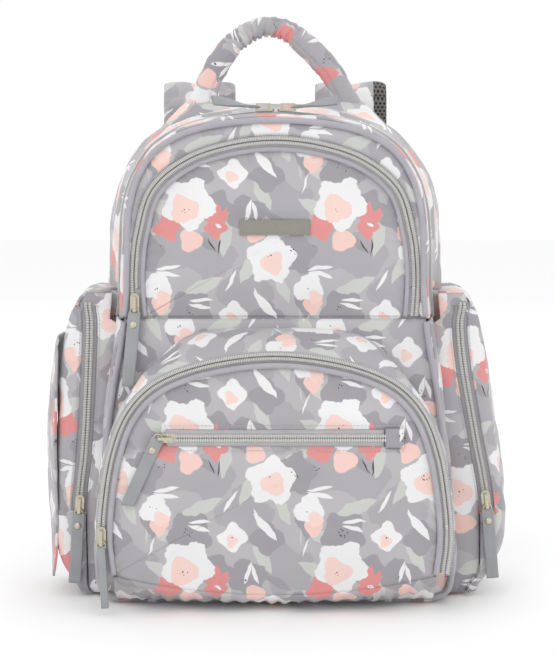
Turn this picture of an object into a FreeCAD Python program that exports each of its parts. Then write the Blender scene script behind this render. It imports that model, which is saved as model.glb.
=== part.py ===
import FreeCAD, Part
import math
import os

# Backpack diaper bag. Millimetres, +Z up, front of the bag toward -Y.
# The origin is on the floor under the middle of the bag.

V = FreeCAD.Vector

# Depth stations of the bag body
Y_FRONT = -58.0        # plane of the main front panel
Y_ZIP = -30.0          # plane of the main zip
Y_BACK = 72.0          # plane of the back panel
Y_POCKET = -96.0       # plane of the lower pocket's front panel
CLOTH = 3.0            # padded cloth, outer and filling together
FOLD_Z = 231.3         # line the upper front section folds about
GAP = 0.4              # room between cloth pieces that move apart

# Outlines as (half width, height), from the base corner up to the crown
FRONT = [(126, 0), (142, 8), (146, 30), (145, 60), (141, 102), (134, 166), (127, 206),
         (122, 246), (121, 286), (119, 318), (111, 346), (93, 370), (58, 386), (0, 392)]
REAR = [(126, 0), (144, 8), (149, 30), (148, 60), (147, 102), (146, 166), (145, 206),
        (143, 254), (142, 290), (138, 326), (125, 356), (100, 383), (62, 399), (0, 404)]
UPPER = [(104, 233), (105.5, 256), (105, 276), (102, 298), (92, 330), (67, 351), (35, 362), (0, 366)]
LOWER = [(127, 32), (130, 60), (128, 90), (122, 125), (110, 156), (88, 178), (50, 192), (0, 198)]
LOWER_SEAM = [(127, 30), (136, 60), (135, 90), (128, 125), (116, 158), (98, 192), (66, 219), (0, 224)]

# Zips
COIL_W = 3.2           # one half of the coil, across
COIL_H = 1.8           # how far the coil stands above its tape
TAPE_T = 0.9

# Side pockets
SIDE_Y0, SIDE_Y1 = -36.0, 56.0

Y_SHIFT = -4.0         # puts the origin under the middle of the whole depth

# Handle and straps
HANDLE_Y, HANDLE_Z = 28.0, 404.5
STRAP_X, STRAP_W = 66.0, 62.0

parts = {}


def arch_wire(points, y):
    """Closed outline at depth y: one smooth curve over the top, one straight line below."""
    left = [V(-x, y, z) for x, z in points[:-1]]
    right = [V(x, y, z) for x, z in reversed(points[:-1])]
    curve = Part.BSplineCurve()
    curve.interpolate(left + [V(0, y, points[-1][1])] + right)
    base = Part.makeLine(right[-1], left[0])
    return Part.Wire([curve.toShape(), base])


def arch_curve(points, y):
    return Part.Wire([arch_wire(points, y).Edges[0]])


def moved_out(points, d):
    """The same outline grown by d along its normals (negative d shrinks it)."""
    out = []
    for i, (x, z) in enumerate(points):
        ax, az = points[max(i - 1, 0)]
        bx, bz = points[i + 1] if i + 1 < len(points) else (-points[-2][0], points[-2][1])
        length = math.hypot(bx - ax, bz - az)
        nx, nz = (bz - az) / length, -(bx - ax) / length
        if i == 0:
            nx, nz = 1.0, 0.0
        out.append((x + nx * d if i + 1 < len(points) else 0.0, z + nz * d))
    return out


def shrunk_body(points, d):
    """Body outline taken in by d all round, the flat base included."""
    inner = moved_out(points, -d)
    inner[0] = (points[0][0] - d * 0.4, d)
    return inner


def arch_plate(points, y, depth):
    return Part.Face(arch_wire(points, y)).extrude(V(0, depth, 0))


def arch_loft(a, ya, b, yb):
    return Part.makeLoft([arch_wire(a, ya), arch_wire(b, yb)], True, True)


def band(outer, inner, y, depth):
    """Flat strip between two arches, open along the base line."""
    low = min(outer[0][1], inner[0][1]) - 40
    big = [(outer[0][0], low)] + outer
    small = [(inner[0][0], low - 5)] + inner
    plate = arch_poly(big, y, depth).cut(arch_poly(small, y - 1, depth + 2))
    return plate.cut(box(-400, 400, y - 2, y + depth + 2, low - 10, outer[0][1]))


def arch_poly(points, y, depth):
    """Arch plate whose legs run straight down from the second point."""
    arch = arch_plate(points[1:], y, depth)
    x0, z0 = points[1]
    leg = box(-x0, x0, y, y + depth, points[0][1], z0 + 0.01)
    return arch.fuse(leg)


def box(x0, x1, y0, y1, z0, z1):
    return Part.makeBox(x1 - x0, y1 - y0, z1 - z0, V(x0, y0, z0))


def cord_along(path, radius):
    """Round piping along an open path."""
    edge = path.Edges[0]
    start = edge.valueAt(edge.FirstParameter)
    ahead = edge.tangentAt(edge.FirstParameter)
    ring = Part.Wire([Part.makeCircle(radius, start, ahead)])
    return path.makePipeShell([ring], True, True)


def tube(points, radius):
    curve = Part.BSplineCurve()
    curve.interpolate([V(*p) for p in points])
    return cord_along(Part.Wire([curve.toShape()]), radius)


def add(name, shape):
    shape.translate(V(0, Y_SHIFT, 0))
    parts[name] = shape


def body_between(y0, y1, d0, d1):
    """Ring of the bag's wall between two depths, from d0 to d1 below its surface."""
    def section(y, d):
        t = (y - Y_FRONT) / (Y_BACK - Y_FRONT)
        mid = [(a[0] + (b[0] - a[0]) * t, a[1] + (b[1] - a[1]) * t) for a, b in zip(FRONT, REAR)]
        return shrunk_body(mid, d) if d > 0 else moved_out_body(mid, -d)
    outer = arch_loft(section(y0, d0), y0, section(y1, d0), y1)
    inner = arch_loft(section(y0, d1), y0, section(y1, d1), y1)
    return outer.cut(inner)


def moved_out_body(points, d):
    grown = moved_out(points, d)
    grown[0] = points[0]
    return grown


def above(shape, z):
    return shape.common(box(-300, 300, -200, 200, z, 600))


def below(shape, z):
    return shape.common(box(-300, 300, -200, 200, -50, z))


# --- main body -------------------------------------------------------------------------

def main_body():
    add("main_gusset", body_between(-24.0, Y_BACK, 0, CLOTH)
        .fuse(below(body_between(Y_FRONT, -24.0, 0, CLOTH), FOLD_Z - GAP)))
    lower_panel = below(arch_plate(shrunk_body(FRONT, CLOTH + 0.1), Y_FRONT, CLOTH), FOLD_Z - GAP)
    add("lower_front_panel", lower_panel)
    add("back_panel", arch_plate(REAR, Y_BACK + 0.1, CLOTH))
    pad = arch_plate(shrunk_body(REAR, 16), Y_BACK + CLOTH + 0.2, 9)
    add("back_padding", above(pad, 64))
    add("base_board", box(-122, 122, -50, 66, 4.6, 7.0))
    add("lining", lining())
    add("front_piping_lower", below(front_piping(), FOLD_Z - GAP))
    rear_half = above(body_between(-29.8, -24.1, -0.5, 0.6), FOLD_Z - GAP)
    coil = above(body_between(-29.8, -29.8 + COIL_W, -COIL_H, -0.5), FOLD_Z - GAP)
    add("main_zip_rear", rear_half.fuse(coil))


def lining():
    """Thin cloth bag inside the shell, open toward the front section."""
    t = 0.8
    outer = arch_loft(shrunk_body(FRONT, CLOTH + 1.2), -22.0, shrunk_body(REAR, CLOTH + 1.2), Y_BACK - 0.2)
    inner = arch_loft(shrunk_body(FRONT, CLOTH + 1.2 + t), -23.0, shrunk_body(REAR, CLOTH + 1.2 + t),
                      Y_BACK - 0.2 - t)
    return outer.cut(inner).cut(box(-200, 200, -100, 100, -5, 8.2))


def front_piping():
    return cord_along(arch_curve(shrunk_body(FRONT, 3.0), Y_FRONT - 2.7), 2.5)


# --- upper front section, folds forward when the main zip is open -------------------------

def upper_section():
    add("lid_gusset", above(body_between(Y_FRONT, -36.0, 0, CLOTH), FOLD_Z + GAP))
    panel = above(arch_plate(shrunk_body(FRONT, CLOTH + 0.1), Y_FRONT, CLOTH), FOLD_Z + GAP)
    opening = above(arch_plate(moved_out(UPPER, 11), Y_FRONT - 1, CLOTH + 2), FOLD_Z - 5)
    opening = opening.fuse(box(-115.5, 115.5, Y_FRONT - 1, Y_FRONT + 4, FOLD_Z - 5, 234))
    add("upper_front_panel", panel.cut(opening))
    add("upper_pocket_lining", above(pocket_bag(), FOLD_Z + GAP))
    add("front_piping_upper", above(front_piping(), FOLD_Z + 4 * GAP))
    tape = above(body_between(-35.9, -30.2, -0.5, 0.6), FOLD_Z + GAP)
    coil = above(body_between(-30.2 - COIL_W, -30.2, -COIL_H, -0.5), FOLD_Z + GAP)
    add("main_zip_front", tape.fuse(coil))
    add("upper_zip_outer", zip_half(UPPER, 7.2, 11.0, 7.2, Y_FRONT, 234.0))


def pocket_bag():
    """Shallow cloth tray behind the upper flap."""
    outer = arch_plate(moved_out(UPPER, 10.5), Y_FRONT + 3.2, 16)
    inner = arch_plate(moved_out(UPPER, 9.7), Y_FRONT + 2.2, 16.2)
    return outer.cut(inner)


def zip_half(points, d_in, d_out, d_coil, y, z_low):
    """Half a zip chain laid flat along an arch: cloth tape with the coil on its edge."""
    tape = band(moved_out(points, d_out), moved_out(points, d_in), y, TAPE_T)
    coil = band(moved_out(points, d_coil + COIL_W), moved_out(points, d_coil), y - COIL_H, COIL_H)
    return above(tape.fuse(coil), z_low)


def upper_flap():
    add("upper_flap_panel", arch_plate(UPPER, Y_FRONT - 0.2, 2.5))
    add("upper_flap_piping", cord_along(arch_curve(UPPER, Y_FRONT - 2.2), 1.8))
    inner = zip_half(UPPER, 0.1, 6.8, 6.8 - COIL_W, Y_FRONT, 256.0)
    add("upper_zip_inner", inner)
    plate = box(-28, 28, Y_FRONT - 2.4, Y_FRONT - 0.3, 298, 310)
    rim = box(-26.6, 26.6, Y_FRONT - 2.5, Y_FRONT - 1.8, 299.4, 308.6)
    add("name_plate", plate.cut(rim))


# --- lower pocket ---------------------------------------------------------------------

def lower_pocket():
    """Gusset of the lower pocket: a sloping wall from the front panel out to its own zip."""
    front = moved_out(LOWER, 11)
    outer = arch_loft(moved_out(LOWER_SEAM, 0), Y_FRONT - 0.2, front, Y_POCKET)
    inner = arch_loft(moved_out(LOWER_SEAM, -CLOTH), Y_FRONT, moved_out(LOWER, 8), Y_POCKET - 0.1)
    wall = outer.cut(inner)
    floor = box(-136, 136, Y_POCKET + 0.1, Y_FRONT - 0.3, 28, 31)
    floor = floor.common(outer)
    add("lower_pocket_gusset", wall.fuse(floor))
    add("lower_zip_outer", zip_half(LOWER, 7.2, 10.8, 7.2, Y_POCKET - 1.0, 33.0))


def lower_flap():
    panel = arch_plate(LOWER, Y_POCKET - 1.2, 2.5)
    slot = box(-86, 86, Y_POCKET - 2, Y_POCKET + 3, 134.5, 147.5)
    add("lower_flap_panel", panel.cut(slot))
    add("lower_flap_piping", cord_along(arch_curve(LOWER, Y_POCKET - 3.6), 2.2))
    add("lower_zip_inner", zip_half(LOWER, 0.1, 6.8, 6.8 - COIL_W, Y_POCKET - 1.0, 70.0))
    tape = box(-85.5, 85.5, Y_POCKET - 1.1, Y_POCKET + 0.2, 135, 147)
    coil = box(-84, 84, Y_POCKET - 1.1 - COIL_H, Y_POCKET - 1.1, 137.8, 144.2)
    add("welt_zip", tape.fuse(coil))


# --- zip sliders and pulls ----------------------------------------------------------------

def slider_shape():
    """Slider body with its bridge: it runs along Z, and outward is -Y."""
    plate = box(-3.7, 3.7, -1.5, 0, -6.5, 5.0)
    nose = Part.makeCylinder(3.7, 1.5, V(0, -1.5, 5.0), V(0, 1, 0))
    post = box(-1.0, 1.0, -5.0, -1.5, 3.2, 6.0)
    foot = box(-1.0, 1.0, -5.0, -1.5, -6.0, -3.8)
    bar = box(-1.2, 1.2, -6.3, -4.9, -6.0, 6.0)
    return plate.fuse([nose, post, foot, bar])


def hanging(width, length, thick, skew, riveted):
    """Wire ring through the slider's bridge with a folded strip on it, and the strip's rivet."""
    ring = Part.makeTorus(3.4, 0.7, V(0, -3.2, -6.0), V(0, 1, 0))
    y0, y1 = -3.2 - thick / 2, -3.2 + thick / 2
    pull = box(-width / 2, width / 2, y0, y1, -6.0 - length, -8.9)
    if riveted:
        pull = pull.cut(Part.makeCylinder(1.9, thick + 2, V(0, y0 - 1, -16.5), V(0, 1, 0)))
    shank = Part.makeCylinder(1.86, thick + 0.1, V(0, y0 - 0.1, -16.5), V(0, 1, 0))
    cap = Part.makeCylinder(3.0, 0.7, V(0, y0 - 0.72, -16.5), V(0, 1, 0))
    stud = shank.fuse(cap)
    for s in (pull, stud):
        s.rotate(V(0, -3.2, -6.0), V(0, 1, 0), skew)
    return pull.fuse(ring), stud


def zip_set(name, at, length, skew, tilt=0.0, lean=0.0, lay=0.0, turn=0.0, width=10.0, thick=2.6, stud=True):
    """Slider, pull and rivet. lay and turn put the set on a zip that doesn't face the front."""
    pull, pin = hanging(width, length, thick, skew, stud)
    for s in (pull, pin):
        s.rotate(V(0, -3.2, -2.6), V(1, 0, 0), tilt)
    shapes = {"_slider": slider_shape(), "_pull": pull}
    if stud:
        shapes["_rivet"] = pin
    for suffix, s in shapes.items():
        s.rotate(V(0, 0, 0), V(0, 1, 0), lean)
        s.rotate(V(0, 0, 0), V(1, 0, 0), lay)
        s.rotate(V(0, 0, 0), V(0, 0, 1), turn)
        s.translate(V(*at))
        add(name + suffix, s)


def zips():
    crown = 394.6 + COIL_H + 0.3
    zip_set("main_left", (-9.5, Y_ZIP, crown), 42, -35, -4, 0, -90, -90, 9, 2.4, False)
    zip_set("main_right", (10.5, Y_ZIP, crown), 42, 35, -4, 0, -90, 90, 9, 2.4, False)
    zip_set("upper", (-112.0, Y_FRONT - COIL_H - 0.3, 243.0), 60, 5, -7)
    zip_set("lower", (-136.6, Y_POCKET - 1.0 - COIL_H - 0.3, 62.0), 50, -3, 0, 0, width=6.0, thick=4.0,
            stud=False)
    zip_set("welt", (-85.5, Y_POCKET - 1.1 - COIL_H - 0.3, 141.0), 58, -65, -3, 90)
    zip_set("left_side", (-160.0, SIDE_Y0 - 0.9 - COIL_H - 0.4, 76.0), 58, 0, 0, 4)
    zip_set("right_side", (172.6, SIDE_Y0 - 0.9 - COIL_H - 0.4, 80.0), 58, 3, 0, -8)


# --- side pockets --------------------------------------------------------------------------

LEFT_EDGE = [(176, 10), (181, 38), (181, 80), (178, 134), (175, 194), (169, 228), (156, 250)]
RIGHT_EDGE = [(178, 10), (187, 36), (190, 64), (184, 112), (176, 170), (168, 224), (156, 250)]


def side_outline(edge, grow):
    """Front view of a side pocket on the right, as a face: its outer edge is one smooth curve."""
    pts = [V(x + grow, 0, z + (grow if i == 6 else 0)) for i, (x, z) in enumerate(edge)]
    pts[0].z = 8 - grow
    curve = Part.BSplineCurve()
    curve.interpolate(pts)
    top, low = pts[-1], pts[0]
    back = Part.makePolygon([top, V(90, 0, top.z), V(90, 0, low.z), low])
    return Part.Face(Part.Wire([curve.toShape()] + back.Edges))


def side_slab(edge, grow, y0, y1):
    slab = side_outline(edge, grow).extrude(V(0, y1 - y0, 0))
    slab.translate(V(0, y0, 0))
    return slab


def ribbon(line, y, depth, lo, hi):
    """Strip in the front view following a line of (x, z), from lo to hi beside it."""
    a = Part.BSplineCurve()
    a.interpolate([V(x + lo, y, z) for x, z in line])
    b = Part.BSplineCurve()
    b.interpolate([V(x + hi, y, z) for x, z in line])
    ends = [Part.makeLine(a.EndPoint, b.EndPoint), Part.makeLine(b.StartPoint, a.StartPoint)]
    wire = Part.Wire([a.toShape(), ends[0], b.toShape(), ends[1]])
    return Part.Face(wire).extrude(V(0, depth, 0))


def side_pocket(name, edge, line, mirror):
    """Gusset against the bag, an outer panel that folds down, and the zip between them."""
    outer = side_slab(edge, 0, SIDE_Y0, SIDE_Y1)
    inner = side_slab(edge, -CLOTH, SIDE_Y0 + CLOTH, SIDE_Y1 - CLOTH)
    body = arch_loft(moved_out_body(FRONT, 0.6), Y_FRONT, moved_out_body(REAR, 0.6), Y_BACK)
    clear = arch_loft(moved_out_body(FRONT, 6), Y_FRONT, moved_out_body(REAR, 6), Y_BACK)
    clear = above(clear, 226).common(box(-200, 200, -80, -20, 0, 400))
    wall = outer.cut(inner).cut(body).cut(clear)
    whole = side_slab(edge, 1, SIDE_Y0 - 1, SIDE_Y1 + 1).cut(box(0, 163, -200, 200, 240, 300))
    rim = whole.cut(side_slab(edge, -CLOTH - GAP, SIDE_Y0 - 2, SIDE_Y1 + 2))
    rim = rim.cut(box(0, 300, -200, 200, -5, 12.8))
    taken = whole.cut(side_slab(edge, -CLOTH - 3 * GAP, SIDE_Y0 - 2, SIDE_Y1 + 2))
    taken = taken.cut(box(0, 300, -200, 200, -5, 12.3))
    beyond = ribbon(line, SIDE_Y0 - 1, CLOTH + 1.4, 6.4, 80)
    long_zip = [(line[0][0], 8)] + line[1:]
    front = ribbon(long_zip, SIDE_Y0 - 1, CLOTH + 1.4, -6.4, 80)
    panel = wall.common(rim.cut(side_slab(edge, 1, SIDE_Y0 - 2, SIDE_Y0 + CLOTH + GAP)))
    panel = panel.fuse(wall.common(beyond).cut(box(0, 300, -200, 200, -5, 12.8)))
    gusset = wall.cut(taken).cut(front)
    tape = ribbon(line, SIDE_Y0 - 0.2, 1.0, -5.9, 5.9)
    coil = ribbon(line, SIDE_Y0 - 0.2 - COIL_H, COIL_H, -COIL_W, COIL_W)
    zip_chain = tape.fuse(coil)
    split = ribbon(line, SIDE_Y0 - 4, 8, -8, -0.2)
    halves = {"_zip_inner": zip_chain.common(split), "_zip_outer": zip_chain.common(
        ribbon(line, SIDE_Y0 - 4, 8, 0.2, 8))}
    for suffix, s in [("_gusset", gusset), ("_panel", panel)] + list(halves.items()):
        add(name + suffix, s.mirror(V(0, 0, 0), V(1, 0, 0)) if mirror else s)


def side_pockets():
    side_pocket("left", LEFT_EDGE,
                [(160, 13), (160.5, 76), (156, 120), (153, 166), (150.5, 222), (152, 238)], True)
    side_pocket("right", RIGHT_EDGE,
                [(174, 13), (173, 78), (164, 130), (154, 186), (150, 222), (152, 238)], False)
    points = [(177.5, 212), (185, 180), (189.5, 140), (190.5, 102), (187, 50), (183.5, 16)]
    sheet = ribbon([(-x, z) for x, z in points], -32, 78, -1.1, 1.1)
    add("left_outer_flap", sheet)


# --- handle and straps ---------------------------------------------------------------------

def carry_handle():
    path = [(-61, 0), (-55, 18), (-47, 33), (-33, 51), (-14, 62), (4, 62), (19, 54), (35, 39), (48, 24), (60, 0)]
    arch = tube([(x, HANDLE_Y, HANDLE_Z + z) for x, z in path], 9.0)
    ends = [Part.makeSphere(9.0, V(x, HANDLE_Y, HANDLE_Z)) for x in (-61, 60)]
    add("carry_handle", arch.fuse(ends))


ROOT_PATH = [(90, 362), (90, 384), (90.4, 406)]
STRAP_PATH = [(91.5, 409.5), (94, 416), (100, 420), (107, 414), (110, 396), (110, 350), (109, 290), (106, 222)]


def strap_slab(path, lo, hi):
    """Side view of a shoulder strap between two offsets from its middle line, as a face."""
    def shifted(d):
        pts = []
        for i, (y, z) in enumerate(path):
            (ay, az), (by, bz) = path[max(i - 1, 0)], path[min(i + 1, len(path) - 1)]
            n = math.hypot(by - ay, bz - az)
            pts.append(V(0, y - (bz - az) / n * d, z + (by - ay) / n * d))
        curve = Part.BSplineCurve()
        curve.interpolate(pts)
        return curve
    a, b = shifted(lo), shifted(hi)
    ends = [Part.makeLine(a.EndPoint, b.EndPoint), Part.makeLine(b.StartPoint, a.StartPoint)]
    return Part.Face(Part.Wire([a.toShape(), ends[0], b.toShape(), ends[1]]))


def straps():
    for side, s in (("left", -1), ("right", 1)):
        x0 = s * STRAP_X - STRAP_W / 2
        for node, path in (("_strap_root", ROOT_PATH), ("_strap", STRAP_PATH)):
            band_ = strap_slab(path, -5.0, 5.0).extrude(V(STRAP_W, 0, 0))
            band_.translate(V(x0, 0, 0))
            add(side + node, band_)
        lock = box(s * STRAP_X - 17, s * STRAP_X + 17, 102.0, 108.5, 196, 220.5)
        for z in (199, 208):
            lock = lock.cut(box(s * STRAP_X - 13, s * STRAP_X + 13, 100, 110, z, z + 5))
        add(side + "_ladder_lock", lock)
        web = box(-12.5, 12.5, -0.8, 0.8, -168, 0)
        web.rotate(V(0, 0, 0), V(1, 0, 0), -7.4)
        web.rotate(V(0, 0, 0), V(0, 1, 0), -s * 22)
        web.translate(V(s * STRAP_X, 104.5, 190.6))
        tab = box(s * 131 - 9, s * 131 + 9, Y_BACK + CLOTH + 0.3, 84, 26, 40)
        add(side + "_webbing", web.fuse(tab))


os.makedirs("parts", exist_ok=True)
for make in (main_body, upper_section, upper_flap, lower_pocket, lower_flap, zips, side_pockets,
             carry_handle, straps):
    make()
for name, shape in parts.items():
    shape.exportStep(os.path.join("parts", name + ".step"))
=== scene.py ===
import math

import bmesh
import bpy
import numpy as np
from mathutils import Matrix, Vector, noise


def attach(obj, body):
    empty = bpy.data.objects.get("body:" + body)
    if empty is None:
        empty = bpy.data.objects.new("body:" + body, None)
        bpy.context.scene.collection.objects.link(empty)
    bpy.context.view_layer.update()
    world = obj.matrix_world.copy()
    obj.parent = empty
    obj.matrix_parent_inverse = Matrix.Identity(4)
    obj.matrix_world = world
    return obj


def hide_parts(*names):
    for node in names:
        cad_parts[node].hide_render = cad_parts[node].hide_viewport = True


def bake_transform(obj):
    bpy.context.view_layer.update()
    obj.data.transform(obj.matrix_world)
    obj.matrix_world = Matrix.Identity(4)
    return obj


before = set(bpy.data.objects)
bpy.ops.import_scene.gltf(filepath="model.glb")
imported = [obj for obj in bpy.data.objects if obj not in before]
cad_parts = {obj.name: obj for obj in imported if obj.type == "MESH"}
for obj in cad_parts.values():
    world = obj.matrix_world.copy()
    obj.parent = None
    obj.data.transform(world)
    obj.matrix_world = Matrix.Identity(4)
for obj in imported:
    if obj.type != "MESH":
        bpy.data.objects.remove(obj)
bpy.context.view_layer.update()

# ---------------------------------------------------------------------------------------
# Camera, floor and lights. A long lens stands nearly in front of the bag, a little above
# its middle. The floor is plain and pale, and the light is soft from every side.
# ---------------------------------------------------------------------------------------
scene = bpy.context.scene
LENS, SENSOR, SHOT_WIDTH = 120.0, 36.0, 0.4445
AIM = Vector((0.002, -0.062, 0.2235))
LOOK_DOWN = math.radians(5.5)
shot = bpy.data.cameras.new("camera")
shot.sensor_fit, shot.sensor_width, shot.lens = "HORIZONTAL", SENSOR, LENS
camera = bpy.data.objects.new("camera", shot)
scene.collection.objects.link(camera)
reach = SHOT_WIDTH * LENS / SENSOR
camera.location = AIM + Vector((0, -math.cos(LOOK_DOWN), math.sin(LOOK_DOWN))) * reach
camera.rotation_euler = (math.radians(90) - LOOK_DOWN, 0, 0)
scene.camera = camera
scene.view_settings.view_transform = "Standard"


def srgb(r, g, b):
    """A colour as it is seen, 0 to 255, for the shader."""
    return tuple(((c / 255 + 0.055) / 1.055) ** 2.4 if c > 10 else c / 3294.6 for c in (r, g, b)) + (1.0,)


def material(name, color, roughness, **more):
    """A new material, its Principled shader and its node tree."""
    mat = bpy.data.materials.new(name)
    mat.use_nodes = True
    tree = mat.node_tree
    shader = tree.nodes["Principled BSDF"]
    shader.inputs["Base Color"].default_value = color
    shader.inputs["Roughness"].default_value = roughness
    for socket, value in more.items():
        shader.inputs[socket.replace("_", " ")].default_value = value
    return mat, tree, shader


def put(tree, kind, *values, **props):
    """A node with its properties set and its first inputs filled with numbers or links."""
    node = tree.nodes.new(kind)
    for key, value in props.items():
        setattr(node, key, value)
    for i, value in enumerate(values):
        if value is None:
            continue
        if isinstance(value, bpy.types.NodeSocket):
            tree.links.new(value, node.inputs[i])
        else:
            node.inputs[i].default_value = value
    return node


def calc(tree, operation, a, b=None, c=None):
    return put(tree, "ShaderNodeMath", a, b, c, operation=operation).outputs[0]


def bump(tree, shader, height, strength, distance):
    node = put(tree, "ShaderNodeBump", strength, distance)
    tree.links.new(height, node.inputs["Height"])
    tree.links.new(node.outputs[0], shader.inputs["Normal"])


def pale_floor():
    mat, tree, shader = material("floor_paper", srgb(250, 250, 250), 0.9)
    coords = put(tree, "ShaderNodeTexCoord")
    grain = put(tree, "ShaderNodeTexNoise", coords.outputs["Object"])
    grain.inputs["Scale"].default_value = 300.0
    bump(tree, shader, grain.outputs["Fac"], 0.05, 0.0005)
    mesh = bpy.data.meshes.new("floor")
    s = 6.0
    mesh.from_pydata([(-s, -s, -0.0004), (s, -s, -0.0004), (s, s, -0.0004), (-s, s, -0.0004)], [],
                     [(0, 1, 2, 3)])
    mesh.materials.append(mat)
    floor = bpy.data.objects.new("floor", mesh)
    scene.collection.objects.link(floor)


def soft_lamp(name, place, aim, size, power):
    light = bpy.data.lights.new(name, "AREA")
    light.shape, light.size, light.energy = "DISK", size, power
    lamp = bpy.data.objects.new(name, light)
    lamp.location = place
    lamp.rotation_euler = (Vector(aim) - Vector(place)).to_track_quat("-Z", "Y").to_euler()
    scene.collection.objects.link(lamp)


pale_floor()
soft_lamp("key", (-1.1, -2.2, 1.9), (0, 0, 0.2), 1.5, 9)
soft_lamp("fill", (1.6, -1.8, 1.1), (0, 0, 0.2), 1.6, 3.5)
soft_lamp("top", (0.1, -0.1, 2.4), (0, 0, 0.2), 1.6, 4)
soft_lamp("back", (0.3, 2.2, 1.5), (0, 0, 0.3), 1.6, 3)
world = bpy.data.worlds.new("studio")
world.use_nodes = True
world.node_tree.nodes["Background"].inputs["Color"].default_value = (1, 1, 1, 1)
world.node_tree.nodes["Background"].inputs["Strength"].default_value = 1.0
scene.world = world

# ---------------------------------------------------------------------------------------
# Printed cloth. Satin polyester with an all-over flower print that repeats every 121 mm
# across and 113 mm down. It is cut flat, so each cloth piece carries a map in metres.
# ---------------------------------------------------------------------------------------
REPEAT = (0.121, 0.113, 1.0)
GROUND = srgb(186, 183, 187)
MID, SOFT, LEAFY = srgb(160, 157, 163), srgb(174, 171, 176), srgb(203, 205, 201)
WHITE, BLUSH, CORAL, PINK, INK = (srgb(238, 238, 239), srgb(246, 214, 205), srgb(226, 146, 144),
                                  srgb(243, 205, 196), srgb(70, 67, 76))


def new_group(name, numbers, outputs):
    group = bpy.data.node_groups.new(name, "ShaderNodeTree")
    group.interface.new_socket("Place", in_out="INPUT", socket_type="NodeSocketVector")
    for word in numbers:
        group.interface.new_socket(word, in_out="INPUT", socket_type="NodeSocketFloat")
    for word in outputs:
        group.interface.new_socket(word, in_out="OUTPUT", socket_type="NodeSocketFloat")
    return group, put(group, "NodeGroupInput"), put(group, "NodeGroupOutput")


def petal_group():
    """A round flower with a ruffled rim: 1 inside, 0 outside."""
    g, start, end = new_group("petals", ("Size", "Lobes", "Ruffle"), ("Mask",))
    axes = put(g, "ShaderNodeSeparateXYZ", start.outputs["Place"])
    far = put(g, "ShaderNodeVectorMath", start.outputs["Place"], operation="LENGTH").outputs["Value"]
    angle = calc(g, "ARCTAN2", axes.outputs[1], axes.outputs[0])
    lobes = calc(g, "COSINE", calc(g, "MULTIPLY", angle, start.outputs["Lobes"]))
    rim = put(g, "ShaderNodeTexNoise", start.outputs["Place"], noise_dimensions="3D")
    rim.inputs["Scale"].default_value = 190.0
    rim.inputs["Detail"].default_value = 1.0
    wavy = calc(g, "MULTIPLY_ADD", rim.outputs["Fac"], 1.1, -0.55)
    ruffled = calc(g, "MULTIPLY", calc(g, "MULTIPLY_ADD", lobes, 0.55, wavy), start.outputs["Ruffle"])
    edge = calc(g, "MULTIPLY", start.outputs["Size"], calc(g, "ADD", ruffled, 1.0))
    inside = calc(g, "MULTIPLY", calc(g, "SUBTRACT", edge, far), 1300.0)
    g.links.new(put(g, "ShaderNodeClamp", inside).outputs[0], end.inputs["Mask"])
    return g


def leaf_group():
    """A pointed leaf lying along its own X."""
    g, start, end = new_group("leaf", ("Length", "Width"), ("Mask",))
    axes = put(g, "ShaderNodeSeparateXYZ", start.outputs["Place"])
    along = calc(g, "DIVIDE", axes.outputs[0], start.outputs["Length"])
    room = calc(g, "SUBTRACT", 1.0, calc(g, "MULTIPLY", along, along))
    edge = calc(g, "SUBTRACT", calc(g, "MULTIPLY", room, start.outputs["Width"]),
                calc(g, "ABSOLUTE", axes.outputs[1]))
    inside = calc(g, "MULTIPLY", edge, 2500.0)
    g.links.new(put(g, "ShaderNodeClamp", inside).outputs[0], end.inputs["Mask"])
    return g


def dots_group():
    """A few short dark flecks close together."""
    g, start, end = new_group("flecks", ("Size", "Thick"), ("Mask",))
    cells = put(g, "ShaderNodeTexVoronoi", start.outputs["Place"])
    cells.inputs["Scale"].default_value = 420.0
    spot = calc(g, "LESS_THAN", cells.outputs["Distance"], start.outputs["Thick"])
    far = put(g, "ShaderNodeVectorMath", start.outputs["Place"], operation="LENGTH").outputs["Value"]
    near = calc(g, "LESS_THAN", far, start.outputs["Size"])
    g.links.new(calc(g, "MULTIPLY", spot, near), end.inputs["Mask"])
    return g


SHAPES = {"petals": petal_group(), "leaf": leaf_group(), "flecks": dots_group()}
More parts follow.
